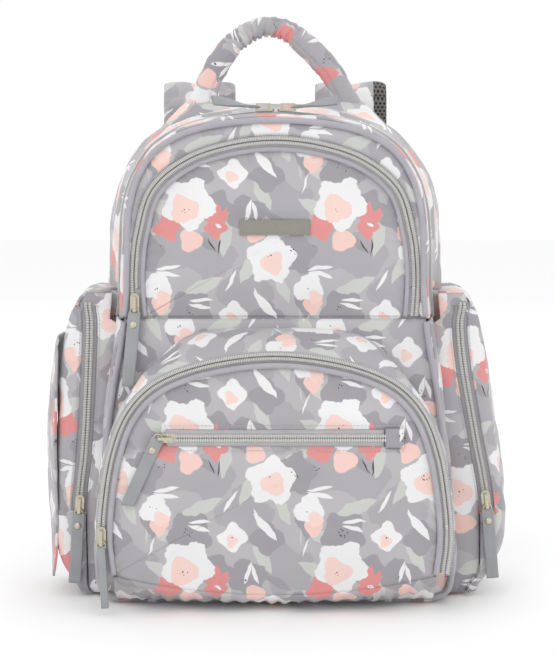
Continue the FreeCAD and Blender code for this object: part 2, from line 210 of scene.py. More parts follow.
# shape, place in the repeat in mm, turn in degrees, its own sizes, colour
PRINT = (
    [("petals", x, y, t, (r / 1000, k, 0.26), SOFT) for x, y, t, r, k in (
        (6, 30, 0, 21, 4), (62, 66, 40, 23, 5), (100, 58, 10, 19, 4), (40, 98, 30, 20, 5))]
    + [("leaf", x, y, t, (l / 1000, w / 1000), LEAFY) for x, y, t, l, w in (
        (10, 52, 62, 17, 5), (64, 96, -30, 18, 6), (92, 34, 25, 20, 6), (36, 34, 115, 15, 4.5),
        (68, 12, 160, 19, 5), (112, 74, 80, 16, 5), (48, 76, 20, 14, 4), (20, 108, -60, 15, 5))]
    + [("petals", x, y, t, (r / 1000, k, 0.24), MID) for x, y, t, r, k in (
        (46, 62, 10, 16, 5), (84, 14, 50, 17, 5), (8, 92, 20, 15, 4), (104, 98, 70, 13, 5),
        (24, 10, 0, 13, 4))]
    + [("leaf", x, y, t, (l / 1000, w / 1000), MID) for x, y, t, l, w in (
        (58, 22, 70, 14, 4), (50, 24, 108, 13, 3.6), (96, 70, -40, 13, 3.5), (32, 88, 150, 14, 3.5))]
    + [("petals", x, y, t, (r / 1000, k, 0.2), PINK) for x, y, t, r, k in (
        (84, 72, 0, 9.5, 3), (60, 20, 30, 7.5, 3), (14, 78, 0, 8, 3))]
    + [("petals", x, y, t, (r / 1000, k, 0.3), CORAL) for x, y, t, r, k in (
        (66, 82, 20, 10.5, 4), (104, 82, 5, 8.5, 4))]
    + [("leaf", x, y, t, (l / 1000, w / 1000), c) for x, y, t, l, w, c in (
        (99, 91, 110, 9, 3.6, CORAL), (105, 93, 88, 10, 3.6, CORAL), (110, 90, 66, 9, 3.4, CORAL),
        (101, 68, 118, 8, 0.8, INK), (107, 67, 84, 8.5, 0.8, INK), (106, 84, 150, 3, 1.6, WHITE),
        (9, 96, 76, 10, 2.0, WHITE), (14, 95, 105, 9, 1.8, WHITE), (66, 50, 8, 11, 1.8, WHITE),
        (66, 45, -13, 11, 1.9, WHITE), (92, 24, 2, 10, 1.7, WHITE), (91, 19, -14, 10, 1.8, WHITE),
        (22, 20, -50, 15, 3.6, WHITE), (16, 26, -72, 9, 1.8, WHITE), (54, 4, 72, 9, 1.0, WHITE),
        (50, 12, 96, 8, 0.9, LEAFY), (116, 40, 60, 11, 1.6, WHITE))]
    + [("petals", x, y, t, (r / 1000, k, 0.24), WHITE) for x, y, t, r, k in (
        (27, 57, 15, 18.5, 5), (57, 34, 200, 12, 3), (82, 101, 60, 20, 5), (118, 12, 0, 11, 4))]
    + [("petals", x, y, t, (r / 1000, k, 0.25), BLUSH) for x, y, t, r, k in (
        (28, 54, 60, 9.5, 3), (79, 97, 0, 11.5, 3), (62, 26, 0, 6, 3), (117, 9, 0, 5, 3))]
    + [("flecks", x, y, t, (r / 1000, 0.26), INK) for x, y, t, r in (
        (28, 59, 0, 4.0), (55, 35, 30, 3.6), (80, 98, 80, 4.2), (47, 64, 10, 4.6), (84, 16, 0, 4.6),
        (8, 90, 0, 4.0), (106, 84, 0, 2.0), (118, 11, 0, 2.6), (62, 68, 50, 3.0))]
)


def printed_cloth(name, shift=(0.0, 0.0), turn=0.0):
    """Printed satin. shift moves the print on its piece, as each piece is cut from its own place."""
    mat, tree, shader = material(name, GROUND, 0.62, Sheen_Weight=0.25, Sheen_Roughness=0.5)
    cut = put(tree, "ShaderNodeUVMap", uv_map="cloth").outputs[0]
    moved = put(tree, "ShaderNodeMapping", cut, (shift[0], shift[1], 0.0), (0.0, 0.0, turn)).outputs[0]
    wobble = put(tree, "ShaderNodeTexNoise", moved)
    wobble.inputs["Scale"].default_value = 90.0
    wobble.inputs["Detail"].default_value = 1.0
    centred = put(tree, "ShaderNodeVectorMath", wobble.outputs["Color"], (0.5, 0.5, 0.5),
                  operation="SUBTRACT")
    small = put(tree, "ShaderNodeVectorMath", centred.outputs[0], operation="SCALE")
    small.inputs["Scale"].default_value = 0.0045
    inked = put(tree, "ShaderNodeVectorMath", moved, small.outputs[0], operation="ADD").outputs[0]
    color = GROUND
    for shape, x, y, degrees, sizes, ink in PRINT:
        here = put(tree, "ShaderNodeVectorMath", inked, (x / 1000, y / 1000, 0.0), operation="SUBTRACT")
        half = (REPEAT[0] / 2, REPEAT[1] / 2, 0.5)
        local = put(tree, "ShaderNodeVectorMath", here.outputs[0], half, tuple(-h for h in half),
                    operation="WRAP")
        spun = put(tree, "ShaderNodeVectorRotate", local.outputs[0], rotation_type="Z_AXIS")
        spun.inputs["Angle"].default_value = -math.radians(degrees)
        stamp = put(tree, "ShaderNodeGroup", node_tree=SHAPES[shape])
        tree.links.new(spun.outputs[0], stamp.inputs[0])
        for i, size in enumerate(sizes):
            stamp.inputs[i + 1].default_value = size
        mix = put(tree, "ShaderNodeMix", data_type="RGBA")
        tree.links.new(stamp.outputs["Mask"], mix.inputs["Factor"])
        for socket, value in ((mix.inputs[6], color), (mix.inputs[7], ink)):
            if isinstance(value, tuple):
                socket.default_value = value
            else:
                tree.links.new(value, socket)
        color = mix.outputs[2]
    fade = put(tree, "ShaderNodeTexNoise", moved)
    fade.inputs["Scale"].default_value = 14.0
    tone = put(tree, "ShaderNodeMix", data_type="RGBA", blend_type="MULTIPLY")
    tone.inputs["Factor"].default_value = 0.16
    tree.links.new(color, tone.inputs[6])
    tree.links.new(fade.outputs["Fac"], tone.inputs[7])
    tree.links.new(tone.outputs[2], shader.inputs["Base Color"])
    weave = put(tree, "ShaderNodeTexVoronoi", moved)
    weave.inputs["Scale"].default_value = 2600.0
    creases = put(tree, "ShaderNodeTexNoise", moved)
    creases.inputs["Scale"].default_value = 60.0
    creases.inputs["Detail"].default_value = 3.0
    height = calc(tree, "MULTIPLY_ADD", creases.outputs["Fac"], 3.0, weave.outputs["Distance"])
    bump(tree, shader, height, 0.35, 0.0003)
    return mat

# ---------------------------------------------------------------------------------------
# Main body. A padded gusset runs round the bag between the front and the back panel, and
# the lower front panel closes it in front. The cloth is quilted to a thin foam, sewn with
# the seams inside, and stands a little proud between them.
# ---------------------------------------------------------------------------------------
Y_FRONT, Y_BACK, Y_POCKET, Y_SHIFT = -0.058, 0.072, -0.096, -0.004
FOLD_Z = 0.2313
FRONT = [(126, 0), (142, 8), (146, 30), (145, 60), (141, 102), (134, 166), (127, 206),
         (122, 246), (121, 286), (119, 318), (111, 346), (93, 370), (58, 386), (0, 392)]
REAR = [(126, 0), (144, 8), (149, 30), (148, 60), (147, 102), (146, 166), (145, 206),
        (143, 254), (142, 290), (138, 326), (125, 356), (100, 383), (62, 399), (0, 404)]


def smooth_line(points, count):
    """Evenly spaced points on a smooth curve through the given ones."""
    pts = np.array(points, float)
    pts = np.vstack([2 * pts[0] - pts[1], pts, 2 * pts[-1] - pts[-2]])
    dense = []
    for a, b, c, d in zip(pts, pts[1:], pts[2:], pts[3:]):
        for t in np.linspace(0, 1, 24, endpoint=False):
            dense.append(0.5 * (2 * b + (c - a) * t + (2 * a - 5 * b + 4 * c - d) * t * t
                                + (3 * b - a - 3 * c + d) * t ** 3))
    dense = np.array(dense + [pts[-2]])
    run = np.concatenate([[0], np.cumsum(np.linalg.norm(np.diff(dense, axis=0), axis=1))])
    where = np.linspace(0, run[-1], count)
    return np.stack([np.interp(where, run, dense[:, i]) for i in range(dense.shape[1])], axis=1)


def arch(points, count=201, grow=0.0):
    """Left to right over the top, in metres, as (x, z), grown outward by grow."""
    half = [(x / 1000, z / 1000) for x, z in points]
    line = smooth_line([(-x, z) for x, z in half[:-1]] + [(0, half[-1][1])]
                       + [(x, z) for x, z in reversed(half[:-1])], count)
    if grow:
        along = np.gradient(line, axis=0)
        along /= np.linalg.norm(along, axis=1)[:, None]
        line = line + np.stack([-along[:, 1], along[:, 0]], axis=1) * grow
    return line


def part_above(line, z):
    """The stretch of an arch above a height, with its ends cut exactly there."""
    keep = [i for i in range(len(line)) if line[i][1] >= z]
    lo, hi = keep[0], keep[-1]
    ends = []
    for a, b in ((lo - 1, lo), (hi + 1, hi)):
        if 0 <= a < len(line):
            t = (z - line[a][1]) / (line[b][1] - line[a][1])
            ends.append(line[a] + (line[b] - line[a]) * t)
        else:
            ends.append(None)
    out = [ends[0]] if ends[0] is not None else []
    out += [line[i] for i in keep] + ([ends[1]] if ends[1] is not None else [])
    return smooth_again(np.array(out))


def smooth_again(line, count=None):
    run = np.concatenate([[0], np.cumsum(np.linalg.norm(np.diff(line, axis=0), axis=1))])
    where = np.linspace(0, run[-1], count or len(line))
    return np.stack([np.interp(where, run, line[:, i]) for i in range(line.shape[1])], axis=1)


def run_of(line):
    return np.concatenate([[0], np.cumsum(np.linalg.norm(np.diff(line, axis=0), axis=1))])


def crumple(p, size, depth, seed=0.0):
    """Soft uneven swelling of cloth, the same every time."""
    q = Vector(p) / size + Vector((seed, seed * 1.7, -seed))
    return depth * (noise.noise(q) + 0.45 * noise.noise(q * 2.3))


def cloth(name, grid, cut, mat, wall=0.0016, flip=False, loop=False):
    """A cloth piece from rows of points and the same rows on the flat cut, in metres."""
    rows, cols = len(grid), len(grid[0])
    verts = [tuple(p) for row in grid for p in row]
    faces, corners = [], []
    for r in range(rows - 1 + (1 if loop else 0)):
        for c in range(cols - 1):
            quad = [(r, c), (r, c + 1), ((r + 1), c + 1), ((r + 1), c)]
            if flip:
                quad.reverse()
            faces.append([(a % rows) * cols + b for a, b in quad])
            corners.append(quad)
    mesh = bpy.data.meshes.new(name)
    mesh.from_pydata(verts, [], faces)
    layer = mesh.uv_layers.new(name="cloth")
    i = 0
    for quad in corners:
        for a, b in quad:
            layer.data[i].uv = cut[a][b]
            i += 1
    mesh.materials.append(mat)
    mesh.polygons.foreach_set("use_smooth", [True] * len(mesh.polygons))
    piece = bpy.data.objects.new(name, mesh)
    scene.collection.objects.link(piece)
    if wall:
        thick = piece.modifiers.new("wall", "SOLIDIFY")
        thick.thickness, thick.offset = wall, -1.0
        settle(piece)
    return piece


def settle(piece):
    """Makes the piece's modifiers part of its mesh."""
    graph = bpy.context.evaluated_depsgraph_get()
    mesh = bpy.data.meshes.new_from_object(piece.evaluated_get(graph), depsgraph=graph)
    piece.modifiers.clear()
    old, piece.data = piece.data, mesh
    bpy.data.meshes.remove(old)
    piece.data.name = piece.name


def fix(piece, body, slot_name, *nodes):
    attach(piece, body)
    if nodes:
        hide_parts(*nodes)


def shell_rows(y0, y1, count, low=None, swell=0.0, seed=0.0, fine=401):
    """Rows across the gusset from depth y0 to y1, following the bag's outline."""
    front, rear = arch(FRONT, fine), arch(REAR, fine)
    ground = np.linspace(front[-1], front[0], 61)[1:-1]
    rows, cut = [], []
    for v in np.linspace(0, 1, count):
        y = y0 + (y1 - y0) * v
        t = (y - Y_FRONT) / (Y_BACK - Y_FRONT)
        line = front + (rear - front) * t
        run = run_of(line)
        row, flat = [], []
        along = np.gradient(line, axis=0)
        along /= np.linalg.norm(along, axis=1)[:, None]
        for i, (x, z) in enumerate(line):
            out = np.array([-along[i][1], along[i][0]])
            p = (x, y, z)
            push = swell * math.sin(math.pi * v) * min(1.0, z / 0.03)
            push += crumple(p, 0.045, 0.0022, seed) * math.sin(math.pi * min(1, max(0, v))) * min(1, z / 0.02)
            row.append(Vector((x + out[0] * push, y + Y_SHIFT, z + out[1] * push)))
            flat.append((run[i], y))
        if low == "closed":
            for j, (x, z) in enumerate(ground):
                row.append(Vector((x, y + Y_SHIFT, z)))
                flat.append((run[-1] + 0.252 * (j + 1) / 60, y))
            row.append(row[0].copy())
            flat.append((run[-1] + 0.252, y))
        rows.append(row)
        cut.append(flat)
    return rows, cut


def trimmed(rows, cut, keep):
    """Only the columns whose middle row passes the test."""
    mid = rows[len(rows) // 2]
    cols = [i for i, p in enumerate(mid) if keep(p)]
    return [[r[i] for i in cols] for r in rows], [[c[i] for i in cols] for c in cut]


PRINT_BODY = printed_cloth("print_body", (0.012, 0.034))
PRINT_SIDE = printed_cloth("print_side", (0.070, 0.020), math.radians(90))


def main_body_cloth():
    rows, cut = shell_rows(-0.024, Y_BACK, 25, "closed", 0.004, 3.0)
    fix(cloth("main_gusset_cloth", rows, cut, PRINT_SIDE, 0.003), "bag", "print_cloth", "main_gusset")
    rows, cut = shell_rows(Y_FRONT, -0.024, 11, "closed", 0.0015, 4.0)
    # the lower part only: from the fold on one side, under the bag, to the fold on the other
    first = [i for i, p in enumerate(rows[5][:401]) if p.z > FOLD_Z - 0.0004]
    order = list(range(first[-1] + 1, len(rows[0]) - 1)) + list(range(0, first[0]))
    rows = [[r[i] for i in order] for r in rows]
    cut = [[c[i] for i in order] for c in cut]
    length = max(c[0] for c in cut[0])
    split = next(i for i in range(1, len(order)) if order[i] < order[i - 1])
    cut = [[(u + (length if i >= split else 0.0), v) for i, (u, v) in enumerate(c)] for c in cut]
    fix(cloth("lower_gusset_cloth", rows, cut, PRINT_SIDE, 0.003), "bag", "print_cloth")


def half_width(points, z):
    zs = [p[1] / 1000 for p in points]
    xs = [p[0] / 1000 for p in points]
    return float(np.interp(z, zs, xs))


def panel_rows(width_of, z0, z1, y, across=61, up=41, swell=0.002, seed=0.0):
    """A panel in rows from the bottom up, as wide as width_of says at each height."""
    rows, cut = [], []
    for b in np.linspace(0, 1, up):
        z = z0 + (z1 - z0) * b
        w = width_of(z)
        row, flat = [], []
        for a in np.linspace(-1, 1, across):
            x = a * w
            edge = min(1.0, (1 - abs(a)) * w / 0.02, b * (z1 - z0) / 0.02 + 0.02,
                       (1 - b) * (z1 - z0) / 0.02 + 0.02)
            edge = math.sin(math.pi / 2 * max(0.0, edge))
            push = swell * edge + crumple((x, 0, z), 0.035, 0.0016, seed) * edge
            row.append(Vector((x, y - push + Y_SHIFT, z)))
            flat.append((x, z))
        rows.append(row)
        cut.append(flat)
    return rows, cut


def lower_front_cloth():
    rows, cut = panel_rows(lambda z: half_width(FRONT, z) - 0.0032, 0.0032, FOLD_Z - 0.0004, Y_FRONT,
                           81, 61, 0.0022, 7.0)
    fix(cloth("lower_front_cloth", rows, cut, PRINT_BODY, 0.003), "bag", "print_cloth", "lower_front_panel")


def back_cloth():
    line = arch(REAR, 161)
    rings, flat = ring_rows(line, 0.0, 10, None, 0.0, 0.0)
    rings = [[Vector((p.x, Y_BACK + 0.0031 + Y_SHIFT, p.z)) for p in row] for row in rings]
    fix(cloth("back_cloth", rings, flat, PRINT_BODY, 0.003), "bag", "print_cloth", "back_panel")


def ring_rows(line, y, rings, center, swell, depth, seed=0.0, puckers=0.0, base_line=True, press=None):
    """Rows from the rim of a panel in to its middle; the rim follows the outline exactly."""
    if base_line:
        gap = np.linalg.norm(line[-1] - line[0])
        low = np.linspace(line[-1], line[0], max(3, int(gap / 0.0045)))[1:]
        rim = np.vstack([line, low])
    else:
        rim = line
    mid = np.array(center) if center is not None else np.array([0.0,
                                                                (line[:, 1].max() + line[:, 1].min()) / 2])
    run = run_of(rim)
    rows, cut = [], []
    for k in np.linspace(0, 1, rings):
        row, flat = [], []
        for i, p in enumerate(rim):
            q = p + (mid - p) * k
            fall = float(np.linalg.norm(rim - q, axis=1).min())
            dome = math.sin(math.pi / 2 * min(1.0, fall / 0.045))
            push = swell * dome + crumple((q[0], 0, q[1]), 0.034, depth, seed) * min(1.0, fall / 0.015)
            push += puckers * math.sin(run[i] / 0.0085 * 2 * math.pi + 2.0
                                       * math.sin(run[i] * 60)) * math.exp(
                -((fall - 0.006) / 0.006) ** 2)
            push *= press(q[0], q[1]) if press else 1.0
            row.append(Vector((q[0], y - push + Y_SHIFT, q[1])))
            flat.append((q[0], q[1]))
        rows.append(row)
        cut.append(flat)
    return rows, cut


main_body_cloth()
lower_front_cloth()
back_cloth()

# ---------------------------------------------------------------------------------------
# Upper front section. An arched margin of printed cloth and a short gusset, sewn to the
# main zip, fold forward together. A flat arched pocket with its own zip sits in the middle.
# ---------------------------------------------------------------------------------------
UPPER = [(104, 233), (105.5, 256), (105, 276), (102, 298), (92, 330), (67, 351), (35, 362), (0, 366)]
PRINT_UPPER = printed_cloth("print_upper", (0.030, 0.004))
PRINT_CROWN = printed_cloth("print_crown", (0.015, 0.050), math.radians(90))


def between(outer, inner, y, across, swell, depth, seed, puckers=0.0):
    """Rows from an outer arch in to an inner one."""
    n = len(outer)
    inner = smooth_again(inner, n)
    run = run_of(outer)
    rows, cut = [], []
    for k in np.linspace(0, 1, across):
        row, flat = [], []
        for i in range(n):
            q = outer[i] + (inner[i] - outer[i]) * k
            wide = np.linalg.norm(outer[i] - inner[i])
            edge = min(k, 1 - k) * wide
            push = swell * math.sin(math.pi * k) + crumple((q[0], 0, q[1]), 0.03, depth,
                                                           seed) * min(1, edge / 0.008)
            push += puckers * math.sin(run[i] / 0.009 * 2 * math.pi + 2 * math.sin(run[i] * 70)) * math.exp(
                -((edge - 0.004) / 0.004) ** 2)
            row.append(Vector((q[0], y - push + Y_SHIFT, q[1])))
            flat.append((q[0], q[1]))
        rows.append(row)
        cut.append(flat)
    return rows, cut


def upper_section_cloth():
    rows, cut = shell_rows(Y_FRONT, -0.036, 9, None, 0.0012, 5.0, 401)
    rows, cut = trimmed(rows, cut, lambda p: p.z > FOLD_Z + 0.0004)
    fix(cloth("crown_gusset_cloth", rows, cut, PRINT_CROWN, 0.003), "front_section", "print_cloth",
        "lid_gusset")
    outer = part_above(arch(FRONT, 301, -0.0032), FOLD_Z + 0.0006)
    inner = part_above(arch(UPPER, 301, 0.0108), FOLD_Z + 0.0028)
    rows, cut = between(outer, inner, Y_FRONT, 13, 0.0022, 0.0012, 11.0, 0.0003)
    fix(cloth("upper_margin_cloth", rows, cut, PRINT_UPPER, 0.003, flip=True), "front_section", "print_cloth",
        "upper_front_panel")


def plate_hollow(x, z):
    """The riveted name plate holds the padded flap flat behind it."""
    return 1 - 0.93 * math.exp(-(x / 0.035) ** 6 - ((z - 0.304) / 0.012) ** 4)


def upper_flap_cloth():
    line = arch(UPPER, 221)
    rows, cut = ring_rows(line, Y_FRONT - 0.0002, 40, (0.0, 0.292), 0.0042, 0.0018, 21.0, 0.00045, True,
                          plate_hollow)
    fix(cloth("upper_flap_cloth", rows, cut, PRINT_UPPER, 0.0024, flip=True, loop=False), "upper_flap",
        "print_cloth", "upper_flap_panel")


upper_section_cloth()
upper_flap_cloth()

# ---------------------------------------------------------------------------------------
# Lower pocket. A deeper box pocket: its gusset slopes from the front panel out to an
# arched zip, and its front panel folds down on the bottom seam. The foot is gathered.
# ---------------------------------------------------------------------------------------
LOWER = [(127, 32), (130, 60), (128, 90), (122, 125), (110, 156), (88, 178), (50, 192), (0, 198)]
LOWER_SEAM = [(127, 30), (136, 60), (135, 90), (128, 125), (116, 158), (98, 192), (66, 219), (0, 224)]
PRINT_LOWER = printed_cloth("print_lower", (0.030, 0.062))
PRINT_SLOPE = printed_cloth("print_slope", (0.052, 0.018))


def lower_pocket_cloth():
    rear = smooth_again(arch(LOWER_SEAM, 301), 301)
    front = smooth_again(arch(LOWER, 301, 0.0112), 301)
    rows, cut = [], []
    run = run_of(front)
    for k in np.linspace(0, 1, 15):
        row, flat = [], []
        for i in range(301):
            q = rear[i] + (front[i] - rear[i]) * k
            y = Y_FRONT + (Y_POCKET - 0.0008 - Y_FRONT) * k
            out = np.array([q[0], q[1] - 0.09])
            out /= np.linalg.norm(out)
            push = 0.0035 * math.sin(math.pi * k) + crumple((q[0], y, q[1]), 0.028, 0.0022,
                                                            31.0) * math.sin(math.pi * k)
            push += 0.0005 * math.sin(run[i] / 0.010 * 2 * math.pi + 2 * math.sin(run[i] * 50)) * math.exp(
                -((1 - k) / 0.16) ** 2) * (1 if k < 1 else 0)
            row.append(Vector((q[0] + out[0] * push, y + Y_SHIFT - 0.0002, q[1] + out[1] * push)))
            flat.append((run[i] - run[-1] / 2, 0.2 + k * 0.045))
        rows.append(row)
        cut.append(flat)
    fix(cloth("lower_pocket_gusset_cloth", rows, cut, PRINT_SLOPE, 0.0028, flip=True), "bag", "print_cloth",
        "lower_pocket_gusset")


def seam_drop(x):
    """Height of the pocket's bottom seam: it hangs lowest in the middle."""
    return 0.0145 + 0.0155 * min(1.0, abs(x) / 0.128) ** 2


def lower_foot_cloth():
    """Under the pocket: gathered cloth from the bottom seam back to the foot of the front panel."""
    rows, cut = [], []
    xs = np.linspace(-0.1275, 0.1275, 121)
    for v in np.linspace(0, 1, 15):
        row, flat = [], []
        for x in xs:
            low = seam_drop(x)
            z = low + (0.003 - low) * v ** 0.8 - 0.003 * math.sin(math.pi * v)
            y = Y_POCKET - 0.0020 + (Y_FRONT - 0.001 - Y_POCKET + 0.0020) * v
            if v < 0.4:
                y -= 0.002 * math.sin(math.pi * v * 2.5)
            gather = 0.0011 * math.sin(x / 0.013 * 2 * math.pi + 2 * math.sin(x * 60)) * math.sin(math.pi * v)
            z += gather - crumple((x, y, z), 0.022, 0.0016, 41.0) * math.sin(math.pi * v)
            row.append(Vector((x, y + Y_SHIFT, max(z, 0.0008))))
            flat.append((x, low - 0.042 * v))
        rows.append(row)
        cut.append(flat)
    fix(cloth("lower_foot_cloth", rows, cut, PRINT_LOWER, 0.0024, flip=True), "bag", "print_cloth")


def welt_hollow(x, z):
    """The stiff welt zip holds the padded flap flat along its own line."""
    return 1 - math.exp(-((z - 0.141) / 0.011) ** 2) * min(1.0, max(0.0, (0.113 - abs(x)) / 0.010))


def lower_flap_cloth():
    """The pocket's front panel, from its bottom seam up."""
    line = arch(LOWER, 261)
    low = np.array([(x, seam_drop(x)) for x in np.linspace(0.127, -0.127, 75)[1:-1]])
    rim = np.vstack([line, low, line[:1]])
    rows, cut = ring_rows(rim, Y_POCKET - 0.0014, 34, (0.0, 0.105), 0.0056, 0.0020, 51.0, 0.00045, False,
                          welt_hollow)
    piece = cloth("lower_flap_cloth", rows, cut, PRINT_LOWER, 0.0024, flip=True)
    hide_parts("lower_flap_panel")
    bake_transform(piece)


def fold_cloth():
    """The inner strip on which the upper front section turns: it closes the fold all round."""
    path = [(-0.1215, -0.037), (-0.1215, -0.052), (-0.1180, -0.0568), (0.1180, -0.0568), (0.1215, -0.052),
            (0.1215, -0.037)]
    rows, cut = [], []
    for z in np.linspace(FOLD_Z - 0.0045, FOLD_Z + 0.0055, 7):
        rows.append([Vector((x, y + Y_SHIFT, z)) for x, y in path])
        cut.append([(x, z) for x, y in path])
    piece = cloth("fold_cloth", rows, cut, PRINT_UPPER, 0.0012)
    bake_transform(piece)


lower_pocket_cloth()
lower_foot_cloth()
lower_flap_cloth()
fold_cloth()

# ---------------------------------------------------------------------------------------
# Piping. A cord wrapped in grey satin, sewn into the front seam and round both pocket
# flaps. The cloth is cut on the bias, but its weave is drawn along and round the cord.
# ---------------------------------------------------------------------------------------
def plain_cloth(name, color, roughness, weave, depth, sheen=0.2):
    """One-colour woven cloth: threads along and across its own map, and a slow change of tone."""
    mat, tree, shader = material(name, color, roughness, Sheen_Weight=sheen, Sheen_Roughness=0.5)
    cut = put(tree, "ShaderNodeUVMap", uv_map="cloth").outputs[0]
    axes = put(tree, "ShaderNodeSeparateXYZ", cut)
    along = calc(tree, "SINE", calc(tree, "MULTIPLY", axes.outputs[0], 2 * math.pi / weave))
    across = calc(tree, "SINE", calc(tree, "MULTIPLY", axes.outputs[1], 2 * math.pi / weave))
    threads = calc(tree, "MULTIPLY", along, across)
    cloud = put(tree, "ShaderNodeTexNoise", cut)
    cloud.inputs["Scale"].default_value = 70.0
    cloud.inputs["Detail"].default_value = 3.0
    tone = put(tree, "ShaderNodeMix", data_type="RGBA", blend_type="MULTIPLY")
    tone.inputs["Factor"].default_value = 0.3
    tone.inputs[6].default_value = color
    shade = calc(tree, "MULTIPLY_ADD", threads, 0.22, calc(tree, "ADD", cloud.outputs["Fac"], 0.25))
    tree.links.new(shade, tone.inputs[7])
    tree.links.new(tone.outputs[2], shader.inputs["Base Color"])
    bump(tree, shader, calc(tree, "ADD", threads, calc(tree, "MULTIPLY", cloud.outputs["Fac"], 2.0)),
         0.5, depth)
    return mat


PIPING = plain_cloth("piping_satin", srgb(176, 173, 181), 0.5, 0.0007, 0.00012, 0.4)


def tube_rows(path, radius, sides=12, flat=1.0, side=None):
    """Rings round a path of points; flat squeezes the tube towards the side direction's normal."""
    pts = [Vector(p) for p in path]
    rows, cut, run = [], [], 0.0
    for i, p in enumerate(pts):
        along = (pts[min(i + 1, len(pts) - 1)] - pts[max(i - 1, 0)]).normalized()
        wide = side(i) if callable(side) else Vector(side or (0, 1, 0))
        wide = (wide - along * wide.dot(along)).normalized()
        thin = along.cross(wide)
        run += (p - pts[i - 1]).length if i else 0.0
        r = radius(i) if callable(radius) else radius
        row, flat_row = [], []
        for k in range(sides + 1):
            a = 2 * math.pi * k / sides
            row.append(p + wide * math.cos(a) * r + thin * math.sin(a) * r * flat)
            flat_row.append((run, a * 0.0025))
        rows.append(row)
        cut.append(flat_row)
    return rows, cut


def closed_tube(name, tubes, mat):
    """One mesh from several tubes, with their ends closed."""
    verts, faces, spots = [], [], []
    for rows, cut in tubes:
        base, cols = len(verts), len(rows[0]) - 1
        for row in rows:
            verts += [tuple(p) for p in row[:-1]]
        for r in range(len(rows) - 1):
            for c in range(cols):
                d = (c + 1) % cols
                faces.append([base + r * cols + c, base + r * cols + d, base + (r + 1) * cols + d,
                              base + (r + 1) * cols + c])
                spots.append([cut[r][c], cut[r][c + 1], cut[r + 1][c + 1], cut[r + 1][c]])
        faces.append([base + c for c in reversed(range(cols))])
        spots.append([cut[0][c] for c in reversed(range(cols))])
        last = base + (len(rows) - 1) * cols
        faces.append([last + c for c in range(cols)])
        spots.append([cut[-1][c] for c in range(cols)])
    mesh = bpy.data.meshes.new(name)
    mesh.from_pydata(verts, [], faces)
    layer = mesh.uv_layers.new(name="cloth")
    layer.data.foreach_set("uv", [v for spot in spots for uv in spot for v in uv])
    mesh.materials.append(mat)
    mesh.polygons.foreach_set("use_smooth", [len(f) == 4 for f in faces])
    outward(mesh)
    piece = bpy.data.objects.new(name, mesh)
    scene.collection.objects.link(piece)
    return piece


def outward(mesh):
    """Turns a closed shell's faces outwards."""
    form = bmesh.new()
    form.from_mesh(mesh)
    bmesh.ops.recalc_face_normals(form, faces=form.faces)
    form.to_mesh(mesh)
    form.free()


def upright(line, y):
    return [Vector((x, y + Y_SHIFT, z)) for x, z in line]


def piping():
    seam = arch(FRONT, 401, -0.0030)
    y = Y_FRONT - 0.0027
    low = [p for p in seam if 0.0028 < p[1] < FOLD_Z - 0.0006]
    sides = [tube_rows(upright([p for p in low if p[0] * s > 0], y), 0.0024) for s in (-1, 1)]
    fix(closed_tube("front_piping_low_cord", sides, PIPING), "bag", "piping", "front_piping_lower")
    high = part_above(seam, FOLD_Z + 0.0018)
    fix(closed_tube("front_piping_high_cord", [tube_rows(upright(high, y), 0.0024)], PIPING), "front_section",
        "piping", "front_piping_upper")
    rim = tube_rows(upright(arch(UPPER, 261), Y_FRONT - 0.0022), 0.0018)
    fix(closed_tube("upper_flap_cord", [rim], PIPING), "upper_flap", "piping", "upper_flap_piping")
    rim = tube_rows(upright(arch(LOWER, 281), Y_POCKET - 0.0036), 0.0022)
    fix(closed_tube("lower_flap_cord", [rim], PIPING), "lower_flap", "piping", "lower_flap_piping")


piping()

# ---------------------------------------------------------------------------------------
# Zips. Nylon coil chains: each half is a woven tape with a light grey coil sewn along its
# edge. The coil's turns show as fine ribs across the chain.
# ---------------------------------------------------------------------------------------
COIL_PITCH, COIL_WIDE = 0.00135, 0.0032
TAPE = plain_cloth("zip_tape", srgb(186, 186, 188), 0.75, 0.0009, 0.0002)
coil_nylon, coil_tree, coil_shader = material("coil_nylon", srgb(214, 213, 209), 0.38, Coat_Weight=0.15)
spots = put(coil_tree, "ShaderNodeTexNoise", put(coil_tree, "ShaderNodeTexCoord").outputs["Object"])
spots.inputs["Scale"].default_value = 900.0
bump(coil_tree, coil_shader, spots.outputs["Fac"], 0.15, 0.0001)
thread, thread_tree, thread_shader = material("sewing_thread", srgb(188, 186, 190), 0.6, Sheen_Weight=0.3)
twist = put(thread_tree, "ShaderNodeTexWave", put(thread_tree, "ShaderNodeTexCoord").outputs["Object"])
twist.inputs["Scale"].default_value = 1400.0
bump(thread_tree, thread_shader, twist.outputs["Fac"], 0.4, 0.0001)


